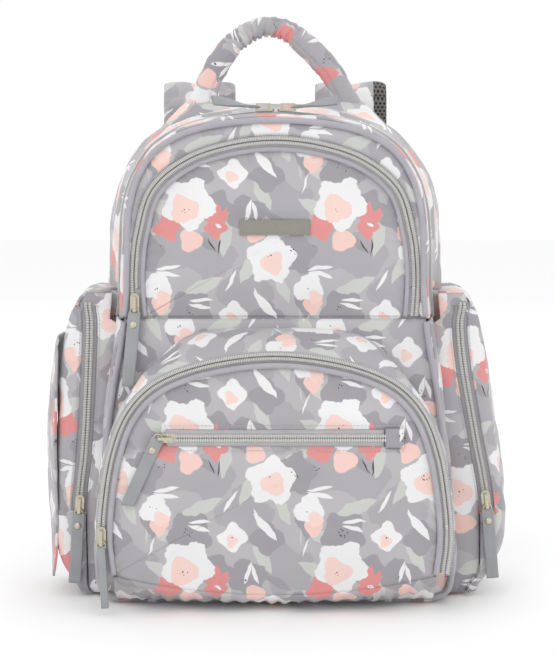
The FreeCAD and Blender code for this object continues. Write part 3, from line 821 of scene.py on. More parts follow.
def bead_tree():
    """Rounded beads set along a line, each turned to the line: coil turns and stitches."""
    tree = bpy.data.node_groups.new("beads_along_line", "GeometryNodeTree")
    for word, kind in (("Geometry", "Geometry"), ("Step", "Float"), ("Size", "Vector"),
                       ("Finish", "Material")):
        tree.interface.new_socket(word, in_out="INPUT", socket_type="NodeSocket" + kind)
    tree.interface.new_socket("Geometry", in_out="OUTPUT", socket_type="NodeSocketGeometry")
    start, end = put(tree, "NodeGroupInput"), put(tree, "NodeGroupOutput")
    line = put(tree, "GeometryNodeMeshToCurve", start.outputs["Geometry"])
    points = put(tree, "GeometryNodeCurveToPoints", line.outputs[0], mode="LENGTH")
    tree.links.new(start.outputs["Step"], points.inputs["Length"])
    bead = put(tree, "GeometryNodeMeshUVSphere", 8, 6, 1.0)
    smooth = put(tree, "GeometryNodeSetShadeSmooth", bead.outputs[0])
    across = put(tree, "GeometryNodeInputNamedAttribute", data_type="FLOAT_VECTOR")
    across.inputs["Name"].default_value = "across"
    turn = put(tree, "FunctionNodeAxesToRotation", points.outputs["Tangent"], across.outputs["Attribute"],
               primary_axis="Y", secondary_axis="X")
    placed = put(tree, "GeometryNodeInstanceOnPoints", points.outputs["Points"])
    tree.links.new(smooth.outputs[0], placed.inputs["Instance"])
    tree.links.new(turn.outputs[0], placed.inputs["Rotation"])
    tree.links.new(start.outputs["Size"], placed.inputs["Scale"])
    real = put(tree, "GeometryNodeRealizeInstances", placed.outputs[0])
    done = put(tree, "GeometryNodeSetMaterial", real.outputs[0])
    tree.links.new(start.outputs["Finish"], done.inputs["Material"])
    tree.links.new(done.outputs[0], end.inputs[0])
    return tree


BEADS = bead_tree()


def beads(name, lines, across, step, size, finish):
    """One plain mesh of beads along several lines; across gives each line's sideways direction."""
    verts, edges, sideways = [], [], []
    for line, way in zip(lines, across):
        base = len(verts)
        verts += [tuple(p) for p in line]
        edges += [(base + i, base + i + 1) for i in range(len(line) - 1)]
        for i, p in enumerate(line):
            along = (Vector(line[min(i + 1, len(line) - 1)]) - Vector(line[max(i - 1, 0)])).normalized()
            sideways.append(Vector(way) if way[1] == 1 else along.cross(Vector((0, 1, 0))))
    mesh = bpy.data.meshes.new(name)
    mesh.from_pydata(verts, edges, [])
    mesh.attributes.new("across", "FLOAT_VECTOR", "POINT").data.foreach_set("vector",
                                                                            [c for v in sideways for c in v])
    piece = bpy.data.objects.new(name, mesh)
    scene.collection.objects.link(piece)
    work = piece.modifiers.new("beads", "NODES")
    work.node_group = BEADS
    sockets = {s.name: s.identifier for s in BEADS.interface.items_tree if s.in_out == "INPUT"}
    for word, value in (("Step", step), ("Size", size), ("Finish", finish)):
        work[sockets[word]] = value
    settle(piece)
    return piece


FLAT, DEEP = (1, 0, 0), (0, 1, 0)
TOOTH = (0.00172, 0.00058, 0.00088)
STITCH = (0.00028, 0.00115, 0.00026)


def coil(name, lines, ways, body, *nodes):
    fix(beads(name, lines, ways, COIL_PITCH, TOOTH, coil_nylon), body, "zip_chain", *nodes)


def stitches(name, lines, ways, body, step=0.0029):
    fix(beads(name, lines, ways, step, STITCH, thread), body, "zip_chain")


def flat_band(name, line, y, d_in, d_out, mat, wall=0.0009):
    """A tape lying in a front view plane, from d_in to d_out outside a line."""
    along = np.gradient(line, axis=0)
    along /= np.linalg.norm(along, axis=1)[:, None]
    out = np.stack([-along[:, 1], along[:, 0]], axis=1)
    run = run_of(line)
    rows, cut = [], []
    for d in np.linspace(d_in, d_out, 5):
        rows.append([Vector((x, y + Y_SHIFT, z)) for x, z in line + out * d])
        cut.append([(r, d) for r in run])
    return cloth(name, rows, cut, mat, wall)


def crown_line(y, grow, z_low=0.0):
    """The bag's outline at a depth, moved outward, above a height."""
    t = (y - Y_FRONT) / (Y_BACK - Y_FRONT)
    line = arch(FRONT, 401) * (1 - t) + arch(REAR, 401) * t
    along = np.gradient(line, axis=0)
    along /= np.linalg.norm(along, axis=1)[:, None]
    return part_above(line + np.stack([-along[:, 1], along[:, 0]], axis=1) * grow, z_low)


def main_zip():
    for name, node, body, edge, way in (("rear", "main_zip_rear", "bag", -0.0298, 1),
                                        ("front", "main_zip_front", "front_section", -0.0302, -1)):
        low = FOLD_Z + (-0.0004 if way > 0 else 0.0006)
        rows, cut = [], []
        for v in np.linspace(0, 1, 5):
            y = edge + way * 0.0057 * v
            line = crown_line(y, 0.0006 + 0.0002 * math.sin(math.pi * v), low)
            rows.append([Vector((x, y + Y_SHIFT, z)) for x, z in line])
            cut.append([(r, y) for r in run_of(line)])
        fix(cloth("main_tape_" + name, rows, cut, TAPE, 0.0009, flip=way < 0), body, "zip_chain", node)
        path = upright(crown_line(edge + way * 0.0016, 0.0012, low), edge + way * 0.0016)
        coil("main_coil_" + name, [path], [DEEP], body)
        seam = edge + way * 0.0051
        stitches("main_tape_stitches_" + name, [upright(crown_line(seam, 0.0012, low), seam)], [DEEP], body)


def pocket_zip(name, line, y, zones, d_stitch):
    """zones: for each half its body, node, lowest height, tape edges and the coil's inner edge."""
    for half, body, node, low, d_in, d_out, d_coil in zones:
        own = part_above(line, low)
        fix(flat_band(name + "_tape_" + half, own, y, d_in, d_out, TAPE), body, "zip_chain", node)
        mid = part_above(moved(line, d_coil + COIL_WIDE / 2), low)
        coil(name + "_coil_" + half, [upright(mid, y - 0.0008)], [FLAT], body)
    (low, high), outer_body = (zones[1][3], zones[0][3]), zones[1][1]
    for side, sign in (("left", -1), ("right", 1)):
        foot = np.array([p for p in line if low <= p[1] <= high + 0.001 and p[0] * sign > 0])
        fix(flat_band("%s_zip_end_%s" % (name, side), foot, y + 0.0001, 0.0004, 0.0071, TAPE), outer_body,
            "zip_chain")
        if sign > 0:
            coil(name + "_coil_end", [upright(moved(foot, 0.0052), y - 0.0008)], [FLAT], outer_body)
    lines = [upright(part_above(moved(line, d), FOLD_Z + 0.004 if name == "upper" else 0.036), y - e)
             for d, e in d_stitch]
    stitches(name + "_margin_stitches", lines, [FLAT] * len(lines), zones[1][1])


def moved(line, d):
    along = np.gradient(line, axis=0)
    along /= np.linalg.norm(along, axis=1)[:, None]
    return line + np.stack([-along[:, 1], along[:, 0]], axis=1) * d


main_zip()
pocket_zip("upper", arch(UPPER, 301), Y_FRONT - 0.0006, (
    ("inner", "upper_flap", "upper_zip_inner", 0.256, 0.0012, 0.0068, 0.0036),
    ("outer", "front_section", "upper_zip_outer", 0.234, 0.0072, 0.0110, 0.0072)), [(0.0120, 0.0008)])
pocket_zip("lower", arch(LOWER, 301), Y_POCKET - 0.0012, (
    ("inner", "lower_flap", "lower_zip_inner", 0.070, 0.0014, 0.0068, 0.0036),
    ("outer", "bag", "lower_zip_outer", 0.033, 0.0072, 0.0112, 0.0072)), [(0.0106, 0.0002)])


def welt_zip():
    """The short zip set into a slot in the lower flap, with its folded cloth end box."""
    y, mid = Y_POCKET - 0.0011, 0.141
    line = np.array([(x, mid) for x in np.linspace(-0.0855, 0.0855, 61)])
    fix(flat_band("welt_tape", line, y - 0.0028, -0.0066, 0.0066, TAPE), "lower_flap", "zip_chain",
        "welt_zip")
    chain = np.array([(x, mid) for x in np.linspace(-0.084, 0.0865, 61)])
    coil("welt_coil", [upright(moved(chain, d), y - 0.0038) for d in (-0.0016, 0.0016)], [FLAT, FLAT],
         "lower_flap")
    rows = [[Vector((x, y - 0.0043 + Y_SHIFT, z)) for x in np.linspace(0.0864, 0.1010, 9)]
            for z in np.linspace(mid - 0.0076, mid + 0.0076, 9)]
    cut = [[(p.x, p.z) for p in row] for row in rows]
    fix(cloth("welt_end_box", rows, cut, PRINT_LOWER, 0.0022), "lower_flap", "print_cloth")
    lines = [upright(np.array([(x, mid + d) for x in np.linspace(-0.086, 0.100, 61)]), y - 0.0040)
             for d in (-0.0098, 0.0098)]
    stitches("welt_stitches", lines, [FLAT, FLAT], "lower_flap")


welt_zip()

# ---------------------------------------------------------------------------------------
# Sliders and pulls. Die-cast sliders in pale satin metal carry a wire ring, and a strip of
# grey coated webbing is folded through the ring and held by a domed rivet.
# ---------------------------------------------------------------------------------------
def rubbed_metal(name, color):
    metal, tree, shader = material(name, color, 0.3, Metallic=1.0)
    rub = put(tree, "ShaderNodeTexNoise", put(tree, "ShaderNodeTexCoord").outputs["Object"])
    rub.inputs["Scale"].default_value = 260.0
    rub.inputs["Detail"].default_value = 4.0
    worn = put(tree, "ShaderNodeMapRange", rub.outputs["Fac"], 0.3, 0.7, 0.22, 0.42)
    tree.links.new(worn.outputs[0], shader.inputs["Roughness"])
    bump(tree, shader, rub.outputs["Fac"], 0.12, 0.0002)
    return metal


satin_metal = rubbed_metal("satin_metal", srgb(196, 190, 172))
plate_metal = rubbed_metal("plate_metal", srgb(150, 148, 140))
STRIP = plain_cloth("pull_strip", srgb(158, 160, 163), 0.55, 0.0011, 0.0002, 0.1)


def finish_node(node, mat):
    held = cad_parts[node]
    held.data.materials.clear()
    held.data.materials.append(mat)


def pull_place(at, skew, tilt=0.0, lean=0.0, lay=0.0, turn=0.0):
    """Where a slider's set stands, as in the frame: skew and tilt swing it on its ring."""
    def about(angle, axis, point):
        move = Matrix.Translation(point)
        return move @ Matrix.Rotation(math.radians(angle), 4, axis) @ move.inverted()
    ring, bridge = Vector((0, -0.0032, -0.006)), Vector((0, -0.0032, -0.0026))
    spin = Matrix.Rotation(math.radians(turn), 4, "Z") @ Matrix.Rotation(math.radians(lay), 4, "X")
    spin = spin @ Matrix.Rotation(math.radians(lean), 4, "Y")
    place = Matrix.Translation((at[0] / 1000, at[1] / 1000 + Y_SHIFT, at[2] / 1000))
    return place @ spin @ about(tilt, "X", bridge) @ about(skew, "Y", ring)


def strip_rows(width, length, thick, bend, slant, twist):
    """A strip folded in two round the ring: rounded edges, a groove where its layers meet."""
    rows, cut = [], []
    stations = [(-0.0062, 0.25), (-0.0068, 0.62), (-0.0080, 0.95), (-0.0105, 1.12), (-0.0135, 1.04)]
    stations += [(z, 1.0) for z in np.linspace(-0.0170, -0.006 - length, 22)]
    for z, fat in stations:
        row, flat = [], []
        t = min(1.0, max(0.0, (-z - 0.012) / length))
        for k in range(29):
            a = 2 * math.pi * k / 28
            c, s = math.cos(a), math.sin(a)
            x = math.copysign(abs(c) ** 0.28, c) * width / 2 * min(1.0, 0.86 + fat * 0.14)
            y = math.copysign(abs(s) ** 0.45, s) * thick / 2 * fat
            if abs(s) < 0.2 and t > 0:
                x *= 0.955
            end = slant * x * max(0.0, t * 4 - 3) if slant else 0.0
            roll = math.radians(twist) * min(1.0, 1.6 * t)
            x, y = x * math.cos(roll) - y * math.sin(roll), x * math.sin(roll) + y * math.cos(roll)
            row.append(Vector((x, -0.0032 + y - bend * min(1.0, 1.5 * t), z + end)))
            flat.append((x * 1.0 + (0.02 if s < 0 else 0.0), z))
        rows.append(row)
        cut.append(flat)
    return rows, cut


def ring_rows_of(radius, wire):
    rows, cut = [], []
    for i in range(33):
        a = 2 * math.pi * i / 32
        spoke = Vector((math.cos(a), 0, math.sin(a)))
        row = [spoke * (radius + wire * math.cos(b)) + Vector((0, -0.0032 + wire * math.sin(b), -0.006))
               for b in np.linspace(0, 2 * math.pi, 11)]
        rows.append(row)
        cut.append([(0.0, 0.0)] * 11)
    return rows, cut


def pull(name, body, at, width, length, thick, stud, slant=0.0, bend=0.0, twist=0.0, **turns):
    place = pull_place(at, **turns)
    rows, cut = strip_rows(width / 1000, length / 1000, thick / 1000, bend, slant, twist)
    rows = [[place @ p for p in row] for row in rows]
    strip = closed_tube(name + "_strip", [(rows, cut)], STRIP)
    fix(strip, body, "pull_strip", name + "_pull")
    rows, cut = ring_rows_of(0.0034, 0.0007)
    ring = closed_tube(name + "_ring", [([[place @ p for p in row] for row in rows], cut)], satin_metal)
    fix(ring, body, "hardware")
    if stud:
        profile = [(0.0, -0.0013), (0.0012, -0.00122), (0.0022, -0.00085), (0.0029, -0.0003),
                   (0.0031, 0.0001),
                   (0.0026, 0.0004)]
        rows, cut = [], []
        for r, h in profile:
            rows.append([place @ Vector((max(r, 1e-5) * math.cos(a), -0.0032 - thick / 2000 + h,
                                         -0.0165 + max(r, 1e-5) * math.sin(a)))
                         for a in np.linspace(0, 2 * math.pi, 25)])
            cut.append([(0.0, 0.0)] * 25)
        fix(closed_tube(name + "_stud", [(rows, cut)], satin_metal), body, "hardware", name + "_rivet")
    finish_node(name + "_slider", satin_metal)


CROWN = 394.6 + 1.8 + 0.3
pull("main_left", "main_left_pull_body", (-9.5, -30, CROWN), 9, 42, 2.4, False, bend=0.0022, twist=52,
     skew=-35, tilt=-4, lay=-90, turn=-90)
pull("main_right", "main_right_pull_body", (10.5, -30, CROWN), 9, 42, 2.4, False, bend=0.0022, twist=-52,
     skew=35, tilt=-4, lay=-90, turn=90)
pull("upper", "upper_pull_body", (-112.0, -60.1, 243), 10, 60, 2.6, True, skew=5, tilt=-7)
pull("lower", "lower_pull_body", (-136.6, -99.1, 62), 6, 50, 4.0, False, skew=-3)
pull("welt", "welt_pull_body", (-85.5, -99.2, 141), 10, 58, 2.6, True, slant=0.5, skew=-65, tilt=-3, lean=90)
pull("left_side", "left_side_pull_body", (-160.0, -39.1, 76), 10, 58, 2.6, True, skew=0, lean=4)
pull("right_side", "right_side_pull_body", (172.6, -39.1, 80), 10, 58, 2.6, True, skew=3, lean=-8)
finish_node("name_plate", plate_metal)

# ---------------------------------------------------------------------------------------
# Side pockets. A printed gusset stands against the bag, and a soft outer panel opens from
# it on a zip that ends above the pocket's foot. The left one has a loose outer flap.
# ---------------------------------------------------------------------------------------
SIDE_FRONT, SIDE_BACK, SIDE_TOP, SIDE_ZIP_LOW = -0.036, 0.056, 0.250, 0.071
EDGE = {"left": [(176, 10), (181, 38), (181, 80), (178, 134), (175, 194), (169, 228), (156, 250)],
        "right": [(178, 10), (187, 36), (190, 64), (184, 112), (176, 170), (168, 224), (156, 250)]}
SIDE_ZIP = {"left": [(160, 13), (160.5, 76), (156, 120), (153, 166), (150.5, 222), (152, 238)],
            "right": [(174, 13), (173, 78), (164, 130), (154, 186), (150, 222), (152, 238)]}
PRINT_LEFT = printed_cloth("print_left", (0.016, 0.052))
PRINT_RIGHT = printed_cloth("print_right", (0.050, 0.011))


def at_height(points, z):
    """How far out a smooth line through the points is at a height."""
    line = smooth_line([(x / 1000, h / 1000) for x, h in points], 121)
    return float(np.interp(z, line[:, 1], line[:, 0]))


def rim_at(side, z):
    """The pocket's outer edge: it tucks in under the pocket to a rounded foot."""
    tuck = (0.015 if side == "left" else 0.012) * max(0.0, 1 - (z - 0.0035) / 0.040) ** 1.8
    return at_height(EDGE[side], z) - tuck


def wall_at(y, z):
    """Half width of the bag's main gusset at a depth and height."""
    t = (y - Y_FRONT) / (Y_BACK - Y_FRONT)
    return half_width(FRONT, z) * (1 - t) + half_width(REAR, z) * t


def side_rows(route, heights, sign, swell, seed):
    """Rows up the pocket; route(z) gives points (x, y, run) seen from above."""
    rows, cut = [], []
    for z in heights:
        row, flat = [], []
        line = route(z)
        for i, (x, y, run) in enumerate(line):
            k = i / (len(line) - 1)
            soft = math.sin(math.pi * k) * min(1.0, (z - heights[0]) / 0.015, (heights[-1] - z) / 0.015)
            puff = crumple((x, y, z), 0.032, swell, seed) * max(0.0, soft)
            row.append(Vector((sign * (x + puff), y + Y_SHIFT, z)))
            flat.append((run, z))
        rows.append(row)
        cut.append(flat)
    return rows, cut


def straight(x0, x1, y, count=13, bulge=0.0):
    return [(x0 + (x1 - x0) * k, y - bulge * math.sin(math.pi * k), x0 + (x1 - x0) * k)
            for k in np.linspace(0, 1, count)]


def panel_route(side, z):
    """Round the soft corner from the zip to the outer wall, along it and round to the back."""
    edge, zipper = rim_at(side, z), at_height(SIDE_ZIP[side], z)
    reach = -0.0056 if z < SIDE_ZIP_LOW else 0.0060
    start = min(zipper + reach, edge - 0.009)
    soft = min(0.011, (edge - start) * 0.8)
    lift = 0.0016 if z < SIDE_ZIP_LOW else 0.0
    pts = [(start + (edge - soft - start) * k, SIDE_FRONT - lift - 0.0012 * math.sin(math.pi * k))
           for k in np.linspace(0, 1, 7)]
    pts += [(edge - soft + soft * math.sin(a), SIDE_FRONT - lift + soft * (1 - math.cos(a)))
            for a in np.linspace(0, math.pi / 2, 8)[1:]]
    full = 0.0045 * math.sin(math.pi * min(1, z / 0.25))
    low, high = SIDE_FRONT + soft, SIDE_BACK - 0.008
    pts += [(edge + full * math.sin(math.pi * k), low + (high - low) * k) for k in np.linspace(0, 1, 16)[1:]]
    pts += [(edge - 0.008 * (1 - math.cos(a)), high + 0.008 * math.sin(a))
            for a in np.linspace(0, math.pi / 2, 6)[1:]]
    run, out = 0.0, []
    for i, p in enumerate(pts):
        run += math.dist(p, pts[i - 1]) if i else 0.0
        out.append((p[0], p[1], run + start))
    return out


def side_pocket(side, sign, mat):
    body = side + "_side_panel"
    turned = sign < 0
    low, split = [0.0035 + (SIDE_ZIP_LOW - 0.0008 - 0.0035) * k
                  for k in np.linspace(0, 1, 13)], SIDE_ZIP_LOW + 0.0002
    high = [split + (0.2400 - split) * k for k in np.linspace(0, 1, 35)]
    rows, cut = side_rows(lambda z: panel_route(side, z), low + high, sign, 0.0030, 61.0)
    panel = cloth(side + "_panel_cloth", rows, cut, mat, 0.0026, flip=turned)
    fix(panel, body, "print_cloth", side + "_panel")

    def front_route(z):
        end = at_height(SIDE_ZIP[side], z) - 0.0062
        if z > 0.2402:
            end = at_height(EDGE[side], z) - 0.003
        if z < 0.05:
            end = min(end, rim_at(side, z) - 0.0095)
        root = wall_at(SIDE_FRONT, z) + (0.0068 if z > 0.2255 else -0.002)
        return straight(root, end, SIDE_FRONT, 13, 0.001)

    heights = [0.0030 + (0.2400 - 0.0030) * k for k in np.linspace(0, 1, 45)] + [0.2404, 0.2440, 0.2475,
                                                                                 SIDE_TOP]
    rows, cut = side_rows(front_route, heights, sign, 0.0012, 63.0)
    fix(cloth(side + "_gusset_front_cloth", rows, cut, mat, 0.0024, flip=turned), "bag", "print_cloth",
        side + "_gusset")
    rows, cut = side_rows(lambda z: straight(wall_at(SIDE_BACK, z) - 0.002, rim_at(side, z) - 0.0074,
                                             SIDE_BACK, 9), heights, sign, 0.0010, 64.0)
    fix(cloth(side + "_gusset_back_cloth", rows, cut, mat, 0.0024, flip=not turned), "bag", "print_cloth")

    def backing_route(z):
        wall = wall_at(-0.021, z)
        return straight(wall - 0.002, wall + 0.016, -0.0205, 5)

    rows, cut = side_rows(backing_route, list(np.linspace(0.2210, 0.2512, 9)), sign, 0.0, 65.0)
    fix(cloth(side + "_gusset_backing_cloth", rows, cut, mat, 0.0020, flip=turned), "bag", "print_cloth")

    rows, cut = [], []
    for y in np.linspace(SIDE_FRONT, SIDE_BACK, 25):
        root = wall_at(y, 0.25) + (0.0068 if y < -0.0185 else -0.002)
        rim = [(root, SIDE_TOP + 0.0010), (0.1490, SIDE_TOP + 0.0018), (0.1545, SIDE_TOP),
               (0.1590, 0.2462), (at_height(EDGE[side], 0.2406), 0.2406)]
        dip = 0.0022 * math.sin(math.pi * (y - SIDE_FRONT) / (SIDE_BACK - SIDE_FRONT))
        rows.append([Vector((sign * x, y + Y_SHIFT, z + dip)) for x, z in rim])
        cut.append([(x, y) for x, z in rim])
    fix(cloth(side + "_gusset_top_cloth", rows, cut, mat, 0.0024, flip=turned), "bag", "print_cloth")
    reach = rim_at(side, 0.0035) - 0.0015
    rows = [[Vector((sign * x, y + Y_SHIFT, 0.0045 - 0.002 * math.sin(math.pi * k)))
             for x, k in zip(np.linspace(0.128, reach, 11), np.linspace(0, 1, 11))]
            for y in np.linspace(SIDE_FRONT + 0.0005, SIDE_BACK - 0.001, 25)]
    cut = [[(p.x, p.y) for p in row] for row in rows]
    fix(cloth(side + "_gusset_floor_cloth", rows, cut, mat, 0.0024, flip=not turned), "bag", "print_cloth")


def side_zip(side, sign):
    body = side + "_side_panel"
    heights = np.linspace(SIDE_ZIP_LOW - 0.003, 0.2418, 61)
    base = np.array([(sign * at_height(SIDE_ZIP[side], z), z) for z in heights])
    for half, part, way in (("inner", "bag", -1), ("outer", body, 1)):
        rows, cut = [], []
        for d in np.linspace(0.0002, 0.0062, 4):
            rows.append([Vector((x + sign * way * d, SIDE_FRONT - 0.0002 + Y_SHIFT, z)) for x, z in base])
            cut.append([(z, d) for x, z in base])
        tape = cloth("%s_side_tape_%s" % (side, half), rows, cut, TAPE_DARK, 0.0009, flip=sign * way > 0)
        fix(tape, part, "zip_chain", "%s_zip_%s" % (side, half))
        mid = [Vector((x + sign * way * 0.0016, SIDE_FRONT - 0.0011 + Y_SHIFT, z)) for x, z in base]
        coil("%s_side_coil_%s" % (side, half), [mid], [FLAT], part)
    edge = [Vector((x - sign * 0.0078, SIDE_FRONT - 0.0008 + Y_SHIFT, z)) for x, z in base]
    stitches(side + "_side_stitches_inner", [edge], [FLAT], "bag")
    edge = [Vector((x + sign * 0.0076, SIDE_FRONT - 0.0018 + Y_SHIFT, z)) for x, z in base]
    seam_z = SIDE_ZIP_LOW - 0.0012
    end = at_height(SIDE_ZIP[side], seam_z)
    seam = [Vector((sign * x, SIDE_FRONT - 0.0028 + Y_SHIFT, seam_z))
            for x in np.linspace(end - 0.005, at_height(EDGE[side], seam_z) - 0.012, 25)]
    stitches(side + "_side_stitches_outer", [edge, seam], [FLAT, FLAT], body)


TAPE_DARK = plain_cloth("zip_tape_side", srgb(160, 159, 163), 0.75, 0.0009, 0.0002)
for side_name, side_sign, side_mat in (("left", -1, PRINT_LEFT), ("right", 1, PRINT_RIGHT)):
    side_pocket(side_name, side_sign, side_mat)
    side_zip(side_name, side_sign)


def outer_flap():
    """A loose printed flap sewn along its top, curling in at its front edge over the pocket."""
    top, low = 0.212, 0.016
    outline = [(183.5, 16), (187, 50), (190.5, 102), (189.5, 140), (185, 180), (177.5, 212)]
    rows, cut = [], []
    for v in np.linspace(0, 1, 33):
        row, flat = [], []
        for u in np.linspace(0, 1, 25):
            y = -0.034 + 0.078 * u
            foot = low + 0.034 * u ** 1.5 + 0.006 * math.sin(math.pi * u)
            z = top + (foot - top) * v
            x = at_height(outline, z)
            curl = 0.0105 * math.sin(math.pi * min(1.0, max(0.0, (z - 0.016) / 0.19))) ** 0.7
            x += -curl * (1 - u) ** 2.2 + 0.0035 * math.sin(math.pi * u) + crumple((0.3, y, z), 0.03,
                                                                                   0.0016, 71.0) * v
            row.append(Vector((-x, y + Y_SHIFT, z)))
            flat.append((y * 1.04, z))
        rows.append(row)
        cut.append(flat)
    piece = cloth("left_outer_flap_cloth", rows, cut, PRINT_LEFT, 0.0018, flip=False)
    fix(piece, "left_outer_flap_body", "print_cloth", "left_outer_flap")


outer_flap()

# ---------------------------------------------------------------------------------------
# Carry handle. A flat printed sleeve over foam, seamed along its outer edge. The grip is
# gathered on a cord, and each foot runs out into a pinched fold on top of the bag.
# ---------------------------------------------------------------------------------------
HANDLE_Y, HANDLE_Z = 0.028, 0.4045
HANDLE_PATH = [(-61, 0), (-55, 18), (-47, 33), (-33, 51), (-14, 62), (4, 62), (19, 54), (35, 39),
               (48, 24), (60, 0)]
PRINT_HANDLE = printed_cloth("print_handle", (0.020, 0.050), math.radians(35))


def carry_handle():
    line = smooth_line([(x / 1000, HANDLE_Z + z / 1000) for x, z in HANDLE_PATH], 181)
    first, last = np.array([-0.0625, HANDLE_Z - 0.006]), np.array([0.0615, HANDLE_Z - 0.006])
    line = np.vstack([first, line, last])
    run = run_of(line)
    rows, cut = [], []
    for i, (x, z) in enumerate(line):
        before, after = line[max(i - 1, 0)], line[min(i + 1, len(line) - 1)]
        along = Vector((after[0] - before[0], 0, after[1] - before[1])).normalized()
        out = Vector((-along.z, 0, along.x))
        t = run[i] / run[-1]
        grip = math.exp(-((t - 0.46) / 0.155) ** 8)
        foot = max(0.0, 1 - min(t, 1 - t) / 0.10)
        row, flat = [], []
        for k in range(41):
            a = 2 * math.pi * k / 40
            c, s = math.cos(a), math.sin(a)
            wide, deep = 0.0098 - 0.0016 * grip + 0.004 * foot ** 2, 0.0058 + 0.0015 * grip
            ruck = grip * (0.0011 * math.sin(run[i] / 0.0062 * 2 * math.pi + 2.2
                                             * math.sin(a * 2 + run[i] * 90))
                           + 0.0006 * math.sin(run[i] / 0.0037 * 2 * math.pi + a * 3)) * (0.75 - 0.25 * c)
            seam = 0.0011 * math.exp(-((a - 2.05) / 0.14) ** 2) * (1 - grip)
            soft = crumple((x * 1.3, a * 0.006, z * 1.3), 0.011, 0.0009, 81.0)
            r = 1 + (ruck + soft - seam) / 0.009
            px = math.copysign(abs(c) ** 0.8, c) * wide * r
            py = math.copysign(abs(s) ** 0.8, s) * deep * r
            p = Vector((x, HANDLE_Y + Y_SHIFT, z)) + out * px + Vector((0, -1, 0)) * py
            row.append(p)
            flat.append((a * 0.0085, run[i] * (1 + 0.5 * grip)))
        rows.append(row)
        cut.append(flat)
    sleeve = closed_tube("handle_sleeve", [(rows, cut)], PRINT_HANDLE)
    fix(sleeve, "handle", "print_cloth", "carry_handle")
    for name, lo, hi in (("left", 4, 62), ("right", 118, 178)):
        edge = [rows[i][13] + Vector((0, -0.0003, 0)) for i in range(lo, hi)]
        stitches("handle_stitches_" + name, [edge], [FLAT], "handle", 0.0031)


def crown_height(x, y):
    """Height of the swollen crown of the main gusset above a point."""
    t = (y - Y_FRONT) / (Y_BACK - Y_FRONT)
    line = CROWN_LINES[0] * (1 - t) + CROWN_LINES[1] * t
    return float(np.interp(x, line[:, 0], line[:, 1])) + 0.004 * math.sin(math.pi * (y + 0.024) / 0.096)


def handle_tents():
    """A pinched fold of the crown's cloth round each foot of the handle."""
    for name, x0, lean in (("left", -0.061, -1), ("right", 0.060, 1)):
        rows, cut = [], []
        for u in np.linspace(-1, 1, 41):
            row, flat = [], []
            for v in np.linspace(-1, 1, 31):
                x, y = x0 + 0.032 * u + lean * 0.005, HANDLE_Y + 0.020 * v
                ridge = math.exp(-(abs(v) / 0.34) ** 1.5) * math.exp(-(abs(u) / 0.55) ** 2)
                rim = max(abs(u), abs(v)) ** 4
                row.append(Vector((x, y + Y_SHIFT,
                                   crown_height(x, y) + 0.0100 * ridge + 0.0012 - 0.0042 * rim)))
                flat.append((x, y))
            rows.append(row)
            cut.append(flat)
        fix(cloth("handle_tent_" + name, rows, cut, PRINT_HANDLE, 0.0012), "bag", "print_cloth")


def by_x(line):
    line = line[line[:, 1] > 0.3]
    return line[np.argsort(line[:, 0])]


CROWN_LINES = [smooth_again(by_x(arch(points, 401)), 301) for points in (FRONT, REAR)]
carry_handle()
handle_tents()

# ---------------------------------------------------------------------------------------
# Shoulder straps. Foam between printed cloth outside and dark spacer mesh inside, with a
# stitched channel down the middle. Woven webbing runs from a ladder lock to the bag's foot.
# ---------------------------------------------------------------------------------------
ROOT_PATH = [(90, 362), (90, 384), (90.4, 406)]
STRAP_PATH = [(91.5, 409.5), (94, 416), (100, 420), (107, 414), (110, 396), (110, 350), (109, 290),
              (106, 222)]
STRAP_X, STRAP_WIDE, STRAP_THICK = 0.066, 0.062, 0.010
PRINT_STRAP = printed_cloth("print_strap", (0.035, 0.020), math.radians(20))


def spacer_mesh(name):
    """Knitted spacer mesh: rows of round holes, each row set half a hole over from the last, with painted
    shade in the holes.
    """
    mat, tree, shader = material(name, srgb(98, 95, 91), 0.85, Sheen_Weight=0.2)
    cut = put(tree, "ShaderNodeUVMap", uv_map="cloth").outputs[0]
    holes = []
    for dx, dy in ((0.0, 0.0), (0.0018, 0.0031)):
        spot = put(tree, "ShaderNodeVectorMath", cut, (dx, dy, 0.0), operation="SUBTRACT").outputs[0]
        spot = put(tree, "ShaderNodeVectorMath", spot, (0.0018, 0.0031, 0.5), (-0.0018, -0.0031, -0.5),
                   operation="WRAP").outputs[0]
        holes.append(put(tree, "ShaderNodeVectorMath", spot, operation="LENGTH").outputs["Value"])
    near = calc(tree, "MINIMUM", holes[0], holes[1])
    open_part = calc(tree, "MULTIPLY", calc(tree, "SUBTRACT", 0.00125, near), 4000.0)
    mask = put(tree, "ShaderNodeClamp", open_part).outputs[0]
    yarn = put(tree, "ShaderNodeTexNoise", cut)
    yarn.inputs["Scale"].default_value = 1500.0
    tone = put(tree, "ShaderNodeMix", data_type="RGBA")
    tree.links.new(yarn.outputs["Fac"], tone.inputs["Factor"])
    tone.inputs[6].default_value, tone.inputs[7].default_value = srgb(82, 79, 76), srgb(126, 122, 116)
    # The holes are painted near-black: painted shade seen down into the openings.
    dark = put(tree, "ShaderNodeMix", data_type="RGBA")
    tree.links.new(mask, dark.inputs["Factor"])
    tree.links.new(tone.outputs[2], dark.inputs[6])
    dark.inputs[7].default_value = srgb(18, 18, 18)
    tree.links.new(dark.outputs[2], shader.inputs["Base Color"])
    height = calc(tree, "SUBTRACT", calc(tree, "MULTIPLY", yarn.outputs["Fac"], 0.3), mask)
    bump(tree, shader, height, 0.8, 0.0008)
    return mat


SPACER = spacer_mesh("spacer_mesh")


def strap_line():
    """Side view of the whole strap, root first, as even points (y, z) with their directions."""
    line = smooth_line([(y / 1000, z / 1000) for y, z in ROOT_PATH + STRAP_PATH], 241)
    along = np.gradient(line, axis=0)
    return line, along / np.linalg.norm(along, axis=1)[:, None], run_of(line)


